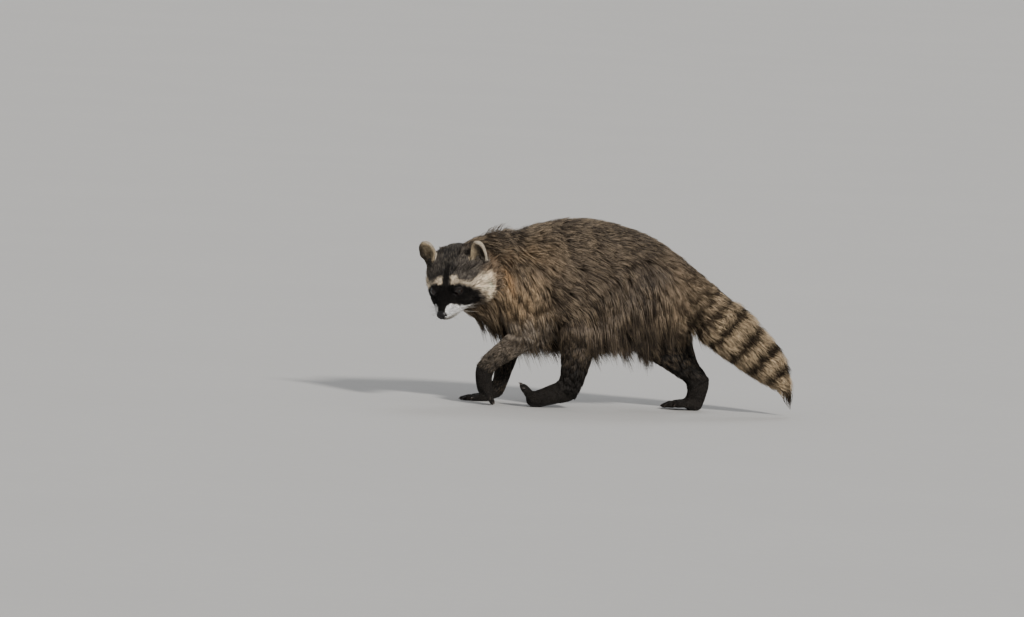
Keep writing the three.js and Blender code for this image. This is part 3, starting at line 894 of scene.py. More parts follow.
def coat_material(name, depth, roughness, tip=(0.420, 0.325, 0.220, 1.0), shine=0.12):
    """Tufts: darkened towards the root as painted shade, their own colour along them, tan or black at the tip."""
    s = Shader(name)
    marking = s.attribute("marking")
    along = s.attribute("along", "Fac")
    strand = s.attribute("strand", "Fac")
    # painted shade: depth is how bright the root of a tuft stays, standing in for the shade deep in the coat
    dark = s.mix(1.0, marking, (depth, depth * 0.92, depth * 0.85, 1), "MULTIPLY")
    body = s.mix(s.span(along, 0.05, 0.55), dark, marking)
    tan = s.math("MULTIPLY", s.span(strand, 0.45, 0.8), s.span(along, 0.45, 0.95))
    amount = s.math("MULTIPLY", tan, s.attribute("marking", "Alpha"))
    tipped = s.mix(s.math("MULTIPLY", amount, 0.75), body, tip)
    black = s.math("MULTIPLY", s.span(strand, 0.30, 0.12), s.span(along, 0.25, 0.8))
    black = s.mix(s.math("MULTIPLY", black, 0.7), tipped, (0.012, 0.009, 0.007, 1))
    drift = s.noise(160.0, 3.0)
    level = s.math("ADD", s.span(strand, 0.0, 1.0, 0.72, 1.18), s.span(drift, 0.35, 0.65, -0.12, 0.12))
    bright = s.add("ShaderNodeVectorMath", operation="SCALE")
    s.put(black, bright, 0)
    s.put(level, bright, "Scale")
    s.colour((bright, 0))
    s.put(s.span(strand, 0.0, 1.0, roughness - 0.08, roughness + 0.12), s.surface, "Roughness")
    s.bump(s.noise(2600.0, 2.0), 0.25, 0.0002)
    return s.finish(shine)


def skin_material():
    """Under-fur and skin below the tufts, with the same markings and painted shade as the coat."""
    s = Shader("under_fur")
    marking = s.attribute("marking")
    bare = s.attribute("bare", "Fac")
    dark = s.mix(1.0, marking, (0.42, 0.38, 0.34, 1), "MULTIPLY")
    streak = s.noise(420.0, 4.0, 0.7, (0.25, 1.0, 1.0))
    under = s.mix(s.span(streak, 0.35, 0.65), dark, marking)
    leather = s.mix(s.span(s.noise(700.0, 3.0), 0.35, 0.65), (0.006, 0.005, 0.005, 1), (0.013, 0.010, 0.009, 1))
    s.colour(s.mix(bare, under, leather))
    s.put(s.span(bare, 0.0, 1.0, 0.85, 0.42), s.surface, "Roughness")
    s.bump(s.noise(900.0, 4.0, 0.7, (0.35, 1.0, 1.0)), 0.5, 0.0006)
    return s.finish(0.12)


def eye_material():
    """A dark brown iris round a black pupil, under a wet gloss."""
    s = Shader("eye_wet")
    ring = s.attribute("ring", "Fac")
    fibres = s.noise(900.0, 3.0)
    iris = s.mix(s.span(fibres, 0.35, 0.65), (0.006, 0.003, 0.002, 1), (0.016, 0.008, 0.004, 1))
    pupil = s.mix(s.span(ring, 0.36, 0.46), (0.001, 0.001, 0.001, 1), iris)
    s.colour(s.mix(s.span(ring, 0.80, 0.95), pupil, (0.006, 0.004, 0.004, 1)))
    s.put(s.span(fibres, 0.3, 0.7, 0.05, 0.07), s.surface, "Roughness")
    return s.finish(0.45)


def nose_material():
    """Black, faintly wet leather with a pebbled grain."""
    s = Shader("nose_leather")
    where = s.add("ShaderNodeTexCoord")
    pebbles = s.add("ShaderNodeTexVoronoi", Scale=1500.0)
    s.link(where, "Object", pebbles, "Vector")
    shade = s.span((pebbles, "Distance"), 0.1, 0.7)
    s.colour(s.mix(shade, (0.010, 0.008, 0.009, 1), (0.004, 0.003, 0.003, 1)))
    s.put(s.span(s.noise(300.0), 0.3, 0.7, 0.28, 0.45), s.surface, "Roughness")
    s.bump((pebbles, "Distance"), 0.4, -0.0003)
    return s.finish(0.35)


def claw_material():
    """Dark horn, a little lighter towards the tip."""
    s = Shader("claw_horn")
    along = s.attribute("along", "Fac")
    grain = s.noise(800.0, 3.0)
    horn = s.mix(s.span(along, 0.2, 1.0), (0.020, 0.014, 0.011, 1), (0.075, 0.055, 0.042, 1))
    s.colour(s.mix(s.span(grain, 0.4, 0.6, 0.0, 0.5), horn, (0.012, 0.009, 0.008, 1)))
    s.put(s.span(grain, 0.3, 0.7, 0.3, 0.42), s.surface, "Roughness")
    s.bump(grain, 0.2, 0.0002)
    return s.finish(0.5)


def whisker_material():
    s = Shader("whisker")
    along = s.attribute("along", "Fac")
    s.colour(s.mix(s.span(along, 0.0, 0.7), (0.10, 0.09, 0.08, 1), (0.62, 0.58, 0.52, 1)))
    s.put(s.span(along, 0.0, 1.0, 0.45, 0.3), s.surface, "Roughness")
    return s.finish(0.5)


def floor_material(tone):
    """Pale matt floor with a trace of unevenness."""
    s = Shader("pale_floor")
    drift = s.noise(1.5, 4.0)
    light = tuple(min(1.0, c * 1.02) for c in tone)
    s.colour(s.mix(s.span(drift, 0.3, 0.7), (*tone, 1), (*light, 1)))
    s.put(s.span(s.noise(30.0), 0.3, 0.7, 0.75, 0.9), s.surface, "Roughness")
    return s.finish(0.2)


# ---------------------------------------------------------------- settings


def length(name, default, description, low=0.0, high=1.0):
    return bpy.props.FloatProperty(
        name=name, description=description, default=default, min=low, max=high,
        subtype="DISTANCE", unit="LENGTH",
    )


def colour(name, default, description):
    return bpy.props.FloatVectorProperty(
        name=name, description=description, default=default, size=3, min=0.0, max=1.0, subtype="COLOR"
    )


class CoatSizes(bpy.types.PropertyGroup):
    """Sizes of the skin and the coat"""

    grain: length("Skin grain", 0.0024, "Edge length of the skin's faces", 0.0015, 0.006)
    depth: bpy.props.FloatProperty(name="Coat depth", description="Scales how deep the coat is", default=1.0)
    fullness: bpy.props.FloatProperty(
        name="Fullness", description="Scales how many tufts the coat has", default=1.0, min=0.05, max=1.3
    )
    lock: length("Lock", 0.010, "How far apart the locks of the coat are", 0.002, 0.05)
    clearance: length("Floor clearance", 0.0006, "How far the coat stays above the floor", 0.0, 0.01)


class CoatColours(bpy.types.PropertyGroup):
    """Colours of the coat"""

    body: colour("Body", (0.138, 0.108, 0.081), "Flanks")
    back: colour("Back", (0.082, 0.067, 0.054), "Along the back")
    shoulder: colour("Shoulder", (0.420, 0.295, 0.175), "Shoulders and neck")
    # painted shade: the dark laid under the belly, under the low chest and in the crease behind the left shoulder
    under: colour("Under", (0.046, 0.035, 0.026), "Belly and chest")
    cheek_edge: colour("Cheek edge", (0.850, 0.610, 0.380), "Warm cream at the back edge of the cheeks")
    streak: colour("Neck streak", (0.400, 0.230, 0.105), "Orange brown behind the cheeks")
    arm: colour("Upper foreleg", (0.200, 0.172, 0.142), "Grey tan of the forelegs above the wrist")
    leg: colour("Legs", (0.021, 0.0183, 0.0165), "Legs and paws")
    tail: colour("Tail", (0.500, 0.385, 0.250), "Pale bands of the tail")
    ring: colour("Tail rings", (0.030, 0.021, 0.0140), "Dark bands of the tail")
    forehead: colour("Forehead", (0.092, 0.081, 0.072), "Brow and temples")
    nape: colour("Nape", (0.058, 0.043, 0.031), "Back of the head")
    crown: colour("Crown", (0.042, 0.039, 0.038), "Stripe over the crown")
    cheek_back: colour("Cheek back", (0.230, 0.160, 0.105), "Warm edge behind the cheek")
    throat: colour("Throat", (0.150, 0.122, 0.095), "Throat and jaw")
    brow: colour("Brow", (0.945, 0.800, 0.610), "Brows and cheeks")
    white: colour("Muzzle", (0.950, 0.945, 0.930), "Sides of the muzzle")
    chin: colour("Chin", (0.420, 0.390, 0.350), "Lower lip and chin")
    mask: colour("Mask", (0.0095, 0.0086, 0.0086), "Mask and bridge of the nose")
    ear: colour("Ear", (0.110, 0.088, 0.066), "Backs of the ears")
    ear_dark: colour("Ear hollow", (0.042, 0.034, 0.026), "Hollow of the ear")
    ear_fluff: colour("Ear fluff", (0.420, 0.340, 0.230), "Hair inside the front edge of the ear")
    rim: colour("Ear rim", (0.600, 0.530, 0.430), "Rims of the ears")


class FaceSizes(bpy.types.PropertyGroup):
    """Sizes of the eyes and the face"""

    eyeball: length("Eyeball", 0.0080, "Radius of the eyeball", 0.004, 0.02)
    lid: length("Lid", 0.0012, "Thickness of the lids at their rim", 0.0003, 0.004)
    mouth: length("Mouth groove", 0.0018, "Depth of the line of the mouth", 0.0, 0.005)
    nose_grain: length("Nose grain", 0.0007, "Edge length of the nose's faces", 0.0004, 0.002)


class StageSettings(bpy.types.PropertyGroup):
    """Floor, light and camera"""

    lens: bpy.props.FloatProperty(name="Lens", description="Focal length in millimetres", default=400.0)
    distance: length("Distance", 19.96, "From the camera to the animal", 1.0, 60.0)
    elevation: bpy.props.FloatProperty(
        name="Elevation", description="Camera above the horizon", default=math.radians(3.5), subtype="ANGLE"
    )
    roll: bpy.props.FloatProperty(
        name="Roll", description="Camera turned about its own line of sight", default=math.radians(2.65),
        subtype="ANGLE",
    )
    floor: colour("Floor", (0.50, 0.495, 0.487), "Colour of the floor")


# ---------------------------------------------------------------- skin


def eye_axes(sign):
    """The middle of an eye, the way it looks, and its own left and up."""
    centre = middle("eye_left" if sign > 0 else "eye_right")
    look = unit(HEAD.turn([[EYE_FORWARD[0], EYE_FORWARD[1] * sign, EYE_FORWARD[2]]]))[0]
    across = unit(np.cross(HEAD.up, look))
    return centre, look, across, np.cross(look, across)


def open_lids(points, sizes):
    """Shapes the lids: a rim that lies on the eyeball round an almond opening, sunk inside it."""
    points = points.copy()
    bare = np.zeros(len(points))
    ball = sizes.eyeball
    for sign in (1, -1):
        centre, look, across, above = eye_axes(sign)
        away = points - centre
        far = np.linalg.norm(away, axis=1)
        way = away / np.maximum(far, 1e-9)[:, None]
        facing = way @ look
        aside, upper, lower = EYE_OPEN
        u, v = way @ across * sign / aside, (way @ above) / np.where(way @ above > 0, upper, lower)
        # the inner corner of the opening is drawn out and down, towards the nose
        inner = np.clip(-u, 0, 1)
        spread = np.hypot(u * np.where(u < 0, 0.90, 1.0), v + 0.12 * inner)
        reach = (far < LID_REACH) & (facing > -0.6)
        hollow = ball - 0.0022
        rim = ball + sizes.lid
        fold = ball + sizes.lid * 1.9
        wanted = np.where(spread < 0.92, hollow, rim)
        wanted = np.where(spread >= 1.05, rim + (fold - rim) * ease(1.05, 1.28, spread), wanted)
        between = (spread >= 0.92) & (spread < 1.05)
        wanted = np.where(between, hollow + (rim - hollow) * ease(0.92, 1.02, spread), wanted)
        crease = peak(spread, 1.42, 0.07) * 0.0007
        outward = np.maximum(ease(1.35, 1.75, spread), ease(0.15, 0.0, facing))
        new = wanted * (1 - outward) + np.maximum(far, ball + 0.0014) * outward - crease
        fade = ease(LID_REACH, 0.0140, far) * ease(-0.6, -0.35, facing)
        new = far + (new - far) * fade
        points[reach] = (centre + way * new[:, None])[reach]
        close = ease(ball + 0.0030, ball + 0.0018, new)
        bare = np.maximum(bare, ease(1.14, 1.05, spread) * reach * ease(0.15, 0.4, facing) * close)
    return points, bare


def part_toes(points, normals):
    """Sinks a groove between each two toes."""
    points = points.copy()
    for digits in DIGITS.values():
        for (tip, nail), (next_tip, next_nail) in zip(digits, digits[1:]):
            tip, nail, next_tip, next_nail = np.array((tip, nail, next_tip, next_nail)) * MM
            fork = (tip + next_tip) / 2
            across = unit(next_tip - tip)
            ahead = unit(nail - tip + next_nail - next_tip)
            away = points - fork
            aside = away @ across
            run = away @ ahead
            groove = peak(aside, 0, 0.0017) * ease(-0.020, -0.008, run)
            groove *= ease(0.016, 0.012, np.linalg.norm(away - np.outer(run, ahead), axis=1))
            groove *= ease(0.014, 0.009, run)
            points -= normals * (0.0024 * groove)[:, None]
    return points


def shape_face(points, normals, sizes):
    """Sinks the line of the mouth and the groove below the nose."""
    local = HEAD.local(points)
    ahead, side, up = local[:, 0], np.abs(local[:, 1]), local[:, 2]
    probe = np.stack([ahead, side, up], axis=1) * MM
    gone, away, _ = along_line(probe, LIP_LINE)
    line = peak(away, 0, 1.3) * ease(48, 30, gone)
    groove = peak(side, 0, 1.0) * ease(34, 38, ahead) * ease(-24, -27, up) * ease(-34, -31, up)
    lift = peak(away, 4.0, 2.2) * (up > -36) * ease(50, 20, gone) * 0.0007
    moved = points - normals * (sizes.mouth * line + 0.0012 * groove - lift)[:, None]
    return moved, np.clip(line * 1.1, 0, 1)


def rounded(mesh, net, points, weight, rounds):
    """Evens out the corners of a form, and gives back the girth that this takes from it."""
    softer = net.even(points, rounds, weight)
    move_points(mesh, softer)
    outward = unit(net.even(normals_of(mesh), 2))
    lost = net.even(dot(points - softer, outward), 60)
    softer += outward * lost[:, None]
    move_points(mesh, softer)
    return softer


def eased_limbs(points, region):
    """Turns the corners at elbows, wrists, knees and hocks into bends."""
    points = points.copy()
    reach = 30
    bell = np.exp(-0.5 * (np.arange(-reach, reach + 1) / 10.0) ** 2)
    bell /= bell.sum()

    def blurred(line, mode):
        return np.stack([np.convolve(column, bell, mode=mode) for column in line.T], axis=1)

    for limb, line in LIMB_LINES.items():
        there = within(region, *LIMB_NODES[limb])
        size = np.linalg.norm(np.diff(np.array(line, float), axis=0), axis=1).sum()
        steps = np.arange(0.0, size, 1.0)
        straight = on_line(steps, line)
        longer = np.concatenate([np.repeat(straight[:1], reach, 0), straight, np.repeat(straight[-1:], reach, 0)])
        curved = blurred(longer, "valid")
        # what the blur takes from the corners is mostly given back
        curved = curved + 0.95 * blurred(straight - curved, "same")
        gone, _, _ = along_line(points[there], line)
        shift = np.stack([np.interp(gone, steps, column) for column in (curved - straight).T], axis=1)
        high = ease(0.004, 0.022, points[there, 2])
        points[there] += shift * (ease(25, 60, gone) * ease(size - 5, size - 45, gone) * high)[:, None]
    return points


def outer_form(mesh, net, points, region):
    """The outside of the animal: corners evened out, limbs bent softly, the tail lifted and ended."""
    stiff = within(region, *EARS, *EYES, "nose")
    near_toes = np.min([apart(points, tip) for tip in TOE_TIPS], axis=0)
    give = np.clip(1 - net.even(stiff.astype(float), 6) - 0.95 * ease(0.036, 0.022, near_toes), 0.04, 1)
    points = rounded(mesh, net, points, 0.5 * give, 100)
    points = eased_limbs(points, region)
    tail = within(region, *RINGED_TAIL)
    gone, _, _ = along_line(points, TAIL_LINE)
    taper = 0.72 * ease(228, 292, gone) * tail
    points = points + (on_line(np.minimum(gone, SKIN_TAIL_END), TAIL_LINE) - points) * taper[:, None]
    lifted = TAIL_LIFT * MM * ease(50, 130, gone) * tail
    points = points + np.outer(lifted, (0.77, 0.0, 0.64))
    return net.even(points, 4, 0.4 * give)


def coat_over(net, points, normals, region):
    """The coat's values at each point of the outer form, and which way it lies."""
    weights = zone_weights(points, normals, region)
    values = net.even(weights @ np.array(list(ZONES.values())), 14)
    gone, _, _ = along_line(points, TAIL_LINE)
    thin = np.where(within(region, *RINGED_TAIL), ease(300, 235, gone), 1.0)
    values[:, 0] *= 0.45 + 0.55 * thin
    return values, net.even(unit(lie_of_coat(points, normals, region)), 40)


def unwrap(piece):
    """Lays the surface out flat, for the tufts' patches, and leaves it in triangles."""
    pick(piece)
    edit_all()
    bpy.ops.uv.smart_project(angle_limit=math.radians(75), island_margin=0.002)
    bpy.ops.mesh.quads_convert_to_tris()
    leave_edit()
    piece.data.uv_layers[0].name = "OFBake"
    bpy.ops.object.shade_smooth()


def build_skin():
    sizes = bpy.context.scene.raccoon_coat
    face = bpy.context.scene.raccoon_face
    skin = merged_copy("skin", REGIONS)
    apply_modifier(skin, "DISPLACE", strength=OVERLAP, mid_level=0.0)
    remesh(skin, sizes.grain)
    mesh = skin.data
    net = Net(mesh)
    region = region_finder()(points_of(mesh))
    outer = outer_form(mesh, net, points_of(mesh), region)
    move_points(mesh, outer)
    normals = unit(net.even(normals_of(mesh), 6))
    values, way = coat_over(net, outer, normals, region)

    # the skin is the outer form sunk by the depth of the coat
    depth = net.even(values[:, 0] * sizes.depth * MM, 4)
    move_points(mesh, outer - normals * (depth + UNDER_COAT)[:, None])
    inner = points_of(mesh)
    remesh(skin, sizes.grain)

    # finer faces where the face and the toes have small forms
    eyes = [middle(eye) for eye in EYES]
    finer_faces(skin, [*eyes, HEAD.world(MOUTH)], FINE_FACE)
    finer_faces(skin, eyes, FINE_EYE)
    finer_faces(skin, TOE_TIPS, FINE_TOE)
    mesh = skin.data
    net = Net(mesh)
    points = net.even(points_of(mesh), 3, 0.4)
    move_points(mesh, points)
    points = part_toes(points, normals_of(mesh))
    move_points(mesh, points)
    points, lips = shape_face(points, normals_of(mesh), face)
    points, bare = open_lids(points, face)
    sole = ease(0.0022, 0.0010, points[:, 2])
    points[:, 2] = np.maximum(points[:, 2], 0.0002)
    move_points(mesh, points)

    # what was found on the outer form is passed on to the skin
    source = nearest(inner, points)
    values = net.even(values[source], 3)
    region = region[source]
    normals = normals_of(mesh)
    pads = ease(-0.55, -0.85, normals[:, 2]) * ease(0.012, 0.006, points[:, 2])
    for name, column in zip(ZONE_VALUES, values.T):
        keep(mesh, name, column)
    keep(mesh, "way", net.even(way[source], 4))
    keep(mesh, "region", region.astype(float))
    keep(mesh, "bare", np.clip(np.maximum.reduce([bare, lips, sole, pads]), 0, 1))
    keep(mesh, "marking", markings_and_shade(net.even(outer[source], 3), normals, region))
    unwrap(skin)
    settle(skin, skin_material(), "body_coat", *FLESH)


def built_skin():
    skin = bpy.data.objects.get("skin")
    if skin is None:
        raise RuntimeError("Build the skin first")
    return skin


# ---------------------------------------------------------------- coat


def piece_names(points, region):
    """Which coat piece each face of the skin belongs to."""
    names = np.full(len(points), "", dtype=object)
    ahead = HEAD.local(points)[:, 0]
    head = within(region, *HEAD_NODES)
    names[head & (ahead > FACE_DEPTH)] = "coat_face"
    names[head & (ahead <= FACE_DEPTH)] = "coat_crown"
    names[within(region, *EARS)] = "coat_ears"
    names[within(region, "neck")] = "coat_neck"
    names[within(region, *RINGED_TAIL)] = "coat_tail"
    trunk = within(region, "trunk")
    front = points[:, 0] < SHOULDER_X
    left = points[:, 1] < MIDDLE_Y
    for side, half in (("left", left), ("right", ~left)):
        names[trunk & front & half] = f"coat_{side}_shoulder"
        names[trunk & ~front & half] = f"coat_{side}_flank"
    for limb, nodes in LIMB_NODES.items():
        names[within(region, *nodes)] = f"coat_{limb}leg"
    return names


class Hide:
    """The skin read into arrays: its triangles, their patches of the unwrap and the coat's values."""

    def __init__(self, skin):
        mesh = skin.data
        self.faces = triangles_of(mesh)
        self.points = points_of(mesh)
        self.normals = normals_of(mesh)
        loops = read(mesh.loop_triangles, "loops", 3, np.int32)
        self.unwrap = read(mesh.uv_layers["OFBake"].uv, "vector", 2)[loops].astype(float)
        self.values = {name: kept(mesh, name) for name in (*ZONE_VALUES, "bare")}
        self.region = kept(mesh, "region")
        self.way = kept(mesh, "way", 3)
        a, b, c = (self.points[self.faces[:, i]] for i in range(3))
        self.area = np.linalg.norm(np.cross(b - a, c - a), axis=1) / 2
        self.tree = BVHTree.FromPolygons(self.points.tolist(), self.faces.tolist(), all_triangles=True)

    def at(self, values, face, share):
        corner = values[self.faces[face]]
        return (corner * (share if corner.ndim == 2 else share[:, :, None])).sum(axis=1)


def scatter(hide, faces, most, fullness, rng):
    """Picks roots spread evenly over the given faces, as (face, shares of its three corners)."""
    density = hide.values["thick"][hide.faces[faces]].mean(axis=1) * 1e6
    wanted = min(most, (density * hide.area[faces]).sum() * fullness)
    bald = hide.values["bare"][hide.faces[faces]].mean(axis=1)
    weight = hide.area[faces] * density * np.where(bald > 0.35, 0, 1)
    total = np.cumsum(weight)
    count = int(min(wanted, total[-1]))
    place = (np.arange(count) + rng.random(count)) / count * total[-1]
    face = faces[np.minimum(np.searchsorted(total, place), len(faces) - 1)]
    r, s = np.sqrt(rng.random(count)), rng.random(count)
    return face, np.stack([1 - r, r * (1 - s), r * s], axis=1)


def spindles(path, upward, width, rings):
    """Solid tapered blades, pointed at both ends, along a bent path of three points each."""
    base, bend, tip = path
    stops = (0.36,) if rings == 1 else (0.24, 0.62)
    swell = (1.0,) if rings == 1 else (0.92, 0.80)
    layers = [base[:, None, :]]
    for t, share in zip(stops, swell):
        centre = (1 - t) ** 2 * base + 2 * t * (1 - t) * bend + t * t * tip
        run = unit((1 - t) * (bend - base) + t * (tip - bend))
        across = unit(np.cross(run, upward))
        above = np.cross(across, run)
        w = (width * share)[:, None]
        corners = [centre + across * w / 2, centre + above * w * 0.40, centre - across * w / 2]
        layers.append(np.stack(corners, axis=1))
    layers.append(tip[:, None, :])
    points = np.concatenate(layers, axis=1)
    last = 3 * rings + 1
    faces = [(0, 1, 2), (0, 2, 3), (0, 3, 1)]
    for ring in range(rings - 1):
        a, b, c = (1 + 3 * ring + i for i in range(3))
        d, e, f = a + 3, b + 3, c + 3
        faces += [(a, d, e), (a, e, b), (b, e, f), (b, f, c), (c, f, d), (c, d, a)]
    a = last - 3
    faces += [(last, a + 1, a), (last, a + 2, a + 1), (last, a, a + 2)]
    along = np.array([0.0, *np.repeat(stops, 3), 1.0])
    aside = np.array([0.0, *([1.0, 0.0, -1.0] * rings), 0.0])
    return points, np.array(faces), along, aside


def parted_at_eyes(root, normal, way, long, lift):
    """Hair round the eyes runs away from them and stays short; long and lift are changed in place."""
    for sign in (1, -1):
        centre = eye_axes(sign)[0]
        away = root - centre
        near = ease(0.022, 0.011, np.linalg.norm(away, axis=1))
        way = flat(way * (1 - 0.75 * near)[:, None] + unit(away) * (0.75 * near)[:, None], normal)
        long *= 1 - 0.35 * near
        lift *= 1 - 0.3 * near
    return way


def laid_on(hide, goal, normal, lift):
    """Where tips that would end at goal lie when they follow the skin, lift above it."""
    landed, above = np.empty_like(goal), np.empty_like(goal)
    for index, point in enumerate(goal.tolist()):
        landed[index], above[index] = hide.tree.find_nearest(point)[:2]
    return landed + unit(above + normal * 0.6) * lift[:, None]


def tuft_mesh(name, path, normal, width, rings, clearance):
    """All tufts of one piece as one mesh, with how far along and across each of its points lies."""
    points, pattern, along, across = spindles(path, normal, width, rings)
    points[:, :, 2] = np.maximum(points[:, :, 2], clearance)
    count, step = points.shape[:2]
    triangles = (pattern[None] + (np.arange(count) * step)[:, None, None]).reshape(-1, 3)
    piece = mesh_of(name, points.reshape(-1, 3), triangles)
    keep(piece.data, "along", np.tile(along, count))
    return piece, triangles, step, along, across


def grow_coat(name, hide, faces, rng, sizes):
    """One piece of the coat over the given faces of the skin."""
    rings = 2 if hide.values["length"][hide.faces[faces]].mean() > 15 else 1
    face, share = scatter(hide, faces, MOST_TRIANGLES // (6 * rings), sizes.fullness, rng)
    count = len(face)
    root = hide.at(hide.points, face, share)
    normal = unit(hide.at(hide.normals, face, share))
    way = flat(hide.at(hide.way, face, share), normal)
    get = {key: hide.at(values, face, share) for key, values in hide.values.items()}
    region = hide.region[hide.faces[face][np.arange(count), share.argmax(axis=1)]].astype(int)
    long = get["length"] * MM * rng.uniform(0.75, 1.2, count)
    lift = np.maximum(get["depth"] * sizes.depth, 0.8) * get["rise"] * MM * rng.uniform(0.78, 1.22, count)
    width = get["width"] * MM * rng.uniform(0.75, 1.3, count)
    hang = np.clip(get["hang"], 0, 1) * (1 - 0.8 * ease(-225, -245, root[:, 0] / MM))
    loose = (rng.random(count) < LOOSE) & (hang > 0.3)
    hang = np.where(loose, 0.95, hang)
    long = long * np.where(loose, LOOSE_LENGTH, 1.0)

    # hackles stand over the withers, and the tail is bushier on top
    hackle = peak(root[:, 0] / MM, HACKLES_X, HACKLES_RUN) * ease(0.2, 0.7, normal[:, 2])
    lift *= 1 + hackle * (0.10 + 0.75 * (rng.random(count) < SPIKES))
    on_tail = within(region, *RINGED_TAIL)
    lift *= 1 + 0.25 * on_tail * ease(0.1, 0.7, normal[:, 2])

    # each tuft follows the lie of the coat, turned a little to one side
    way = parted_at_eyes(root, normal, way, long, lift)
    turn = 0.30 * ripple(root, 38, 31) + 0.16 * rng.normal(size=count)
    way = way * np.cos(turn)[:, None] + np.cross(normal, way) * np.sin(turn)[:, None]

    # its tip lies on the skin or, where the coat hangs, falls free
    base = root - normal * ROOT_SINK
    laid = laid_on(hide, root + way * long[:, None], normal, lift * rng.uniform(0.85, 1.15, count))
    free = root + (way * 0.55 - np.array([0, 0, 0.75])) * long[:, None] + normal * (lift * 0.8)[:, None]
    tip = laid + (free - laid) * hang[:, None]
    bend = root + way * (long * (0.42 - 0.12 * hang))[:, None] + normal * (lift * 1.05)[:, None]

    # the end of the tail is drawn to a point
    gone, _, _ = along_line(root, TAIL_LINE)
    brush = (on_tail * ease(228, 262, gone) * rng.uniform(0.6, 1.0, count))[:, None]
    tip = tip + (np.array(TAIL_END) * MM - tip) * brush

    # tufts of one lock lean together
    leaders = rng.choice(count, max(8, int(hide.area[faces].sum() / sizes.lock**2)) if count > 400 else 8)
    leader = leaders[nearest(root[leaders], root)]
    strand = rng.random(count)
    strand = np.where(rng.random(count) < 0.35, strand[leader], strand)
    pull = (np.clip(get["lock"] * (1 - 0.6 * hackle), 0, 1) * rng.uniform(0.6, 1.1, count))[:, None]
    pull *= np.where(loose[leader], 0.72, 1.0)[:, None]
    tip = tip + (tip[leader] - tip) * pull
    bend = bend + (bend[leader] - bend) * pull * 0.3
    for joint in (bend, tip):
        joint[:, 2] = np.maximum(joint[:, 2], sizes.clearance + 0.0005)
    base[:, 2] = np.maximum(base[:, 2], sizes.clearance)

    path = (base, bend, tip)
    coat, triangles, step, along, across = tuft_mesh(name, path, normal, width, rings, sizes.clearance)
    mesh = coat.data
    marks = markings_and_shade(0.45 * bend + 0.55 * tip, normal, region)
    keep(mesh, "marking", np.repeat(marks, step, axis=0))
    keep(mesh, "strand", np.repeat(strand, step))
    # a tuft's patch of the unwrap lies where its root is
    patch = (hide.unwrap[face] * share[:, :, None]).sum(axis=1)
    shift = np.stack([across * PATCH[0], (along - 0.5) * PATCH[1]], axis=1)
    corners = (patch[:, None, :] + shift[None]).reshape(-1, 2)
    layer = mesh.uv_layers.new(name="OFBake")
    layer.uv.foreach_set("vector", corners[triangles.ravel()].astype(np.float32).ravel())
    return coat


def turn_far_ear():
    """Turns the right ear forward on its root, with the hair on it."""
    root, tip = ear_line(-1)
    axis = unit(tip - root)
    first = unit(np.array([1.0, 0.0, 0.0]) - axis * axis[0])
    second = np.cross(axis, first)
    for name in ("skin", "coat_ears", "coat_crown", "coat_face"):
        mesh = bpy.data.objects[name].data
        local = HEAD.local(points_of(mesh))
        away = local - root
        rise = away @ axis / np.linalg.norm(tip - root)
        a, b = away @ first, away @ second
        near = ease(0.08, 0.45, rise) * ease(32, 24, np.hypot(a, b))
        angle = np.radians(EAR_TURN) * near
        grown = 1 + EAR_GROWTH * near
        turned = np.outer((a * np.cos(angle) - b * np.sin(angle)) * grown, first)
        turned += np.outer((a * np.sin(angle) + b * np.cos(angle)) * grown, second)
        turned += np.outer(away @ axis, axis)
        move_points(mesh, HEAD.world(root + turned))


def build_coat():
    sizes = bpy.context.scene.raccoon_coat
    hide = Hide(built_skin())
    rng = np.random.default_rng(COAT_SEED)
    middles = hide.points[hide.faces].mean(axis=1)
    region = np.round(np.median(hide.region[hide.faces], axis=1)).astype(int)
    names = piece_names(middles, region)
    # painted shade: the second number of each coat material sets how dark the roots of its tufts are painted
    looks = {
        "head_coat": coat_material("head_fur", 0.34, 0.62, (0.42, 0.36, 0.27, 1), 0.08),
        "ear": coat_material("ear_fur", 0.50, 0.62, (0.42, 0.36, 0.27, 1), 0.08),
        "body_coat": coat_material("body_fur", 0.20, 0.56),
        "tail_coat": coat_material("tail_fur", 0.26, 0.58, (0.48, 0.37, 0.24, 1)),
        "leg_coat": coat_material("leg_fur", 0.30, 0.50, (0.38, 0.29, 0.19, 1), 0.2),
    }
    for name, slot in COAT_PIECES.items():
        faces = np.flatnonzero(names == name)
        if not len(faces):
            raise RuntimeError(f"No skin found for {name}")
        coat = grow_coat(name, hide, faces, rng, sizes)
        covered = [REGIONS[code] for code in np.unique(region[faces]) if REGIONS[code] in FLESH]
        settle(coat, looks[slot], slot, *covered)


# ---------------------------------------------------------------- eyes, nose, claws and whiskers


def build_eyes():
    face = bpy.context.scene.raccoon_face
    material = eye_material()
    for sign, node in ((1, "eye_left"), (-1, "eye_right")):
        centre, look, _, _ = eye_axes(sign)
        clear_selection()
        bpy.ops.mesh.primitive_uv_sphere_add(segments=48, ring_count=32, radius=face.eyeball, location=centre)
        eye = bpy.context.object
        eye.name = f"{node}_ball"
        eye.rotation_euler = Vector(look).to_track_quat("Z", "Y").to_euler()
        bpy.ops.object.transform_apply(location=True, rotation=True, scale=True)
        mesh = eye.data
        points = points_of(mesh)
        way = unit(points - centre)
        open_angle = np.arccos(np.clip(way @ look, -1, 1))
        cornea = ease(math.radians(42), math.radians(14), open_angle) * 0.0007
        move_points(mesh, points + way * cornea[:, None])
        keep(mesh, "ring", open_angle / math.radians(46))
        bpy.ops.object.shade_smooth()
        settle(eye, material, "eye", node)


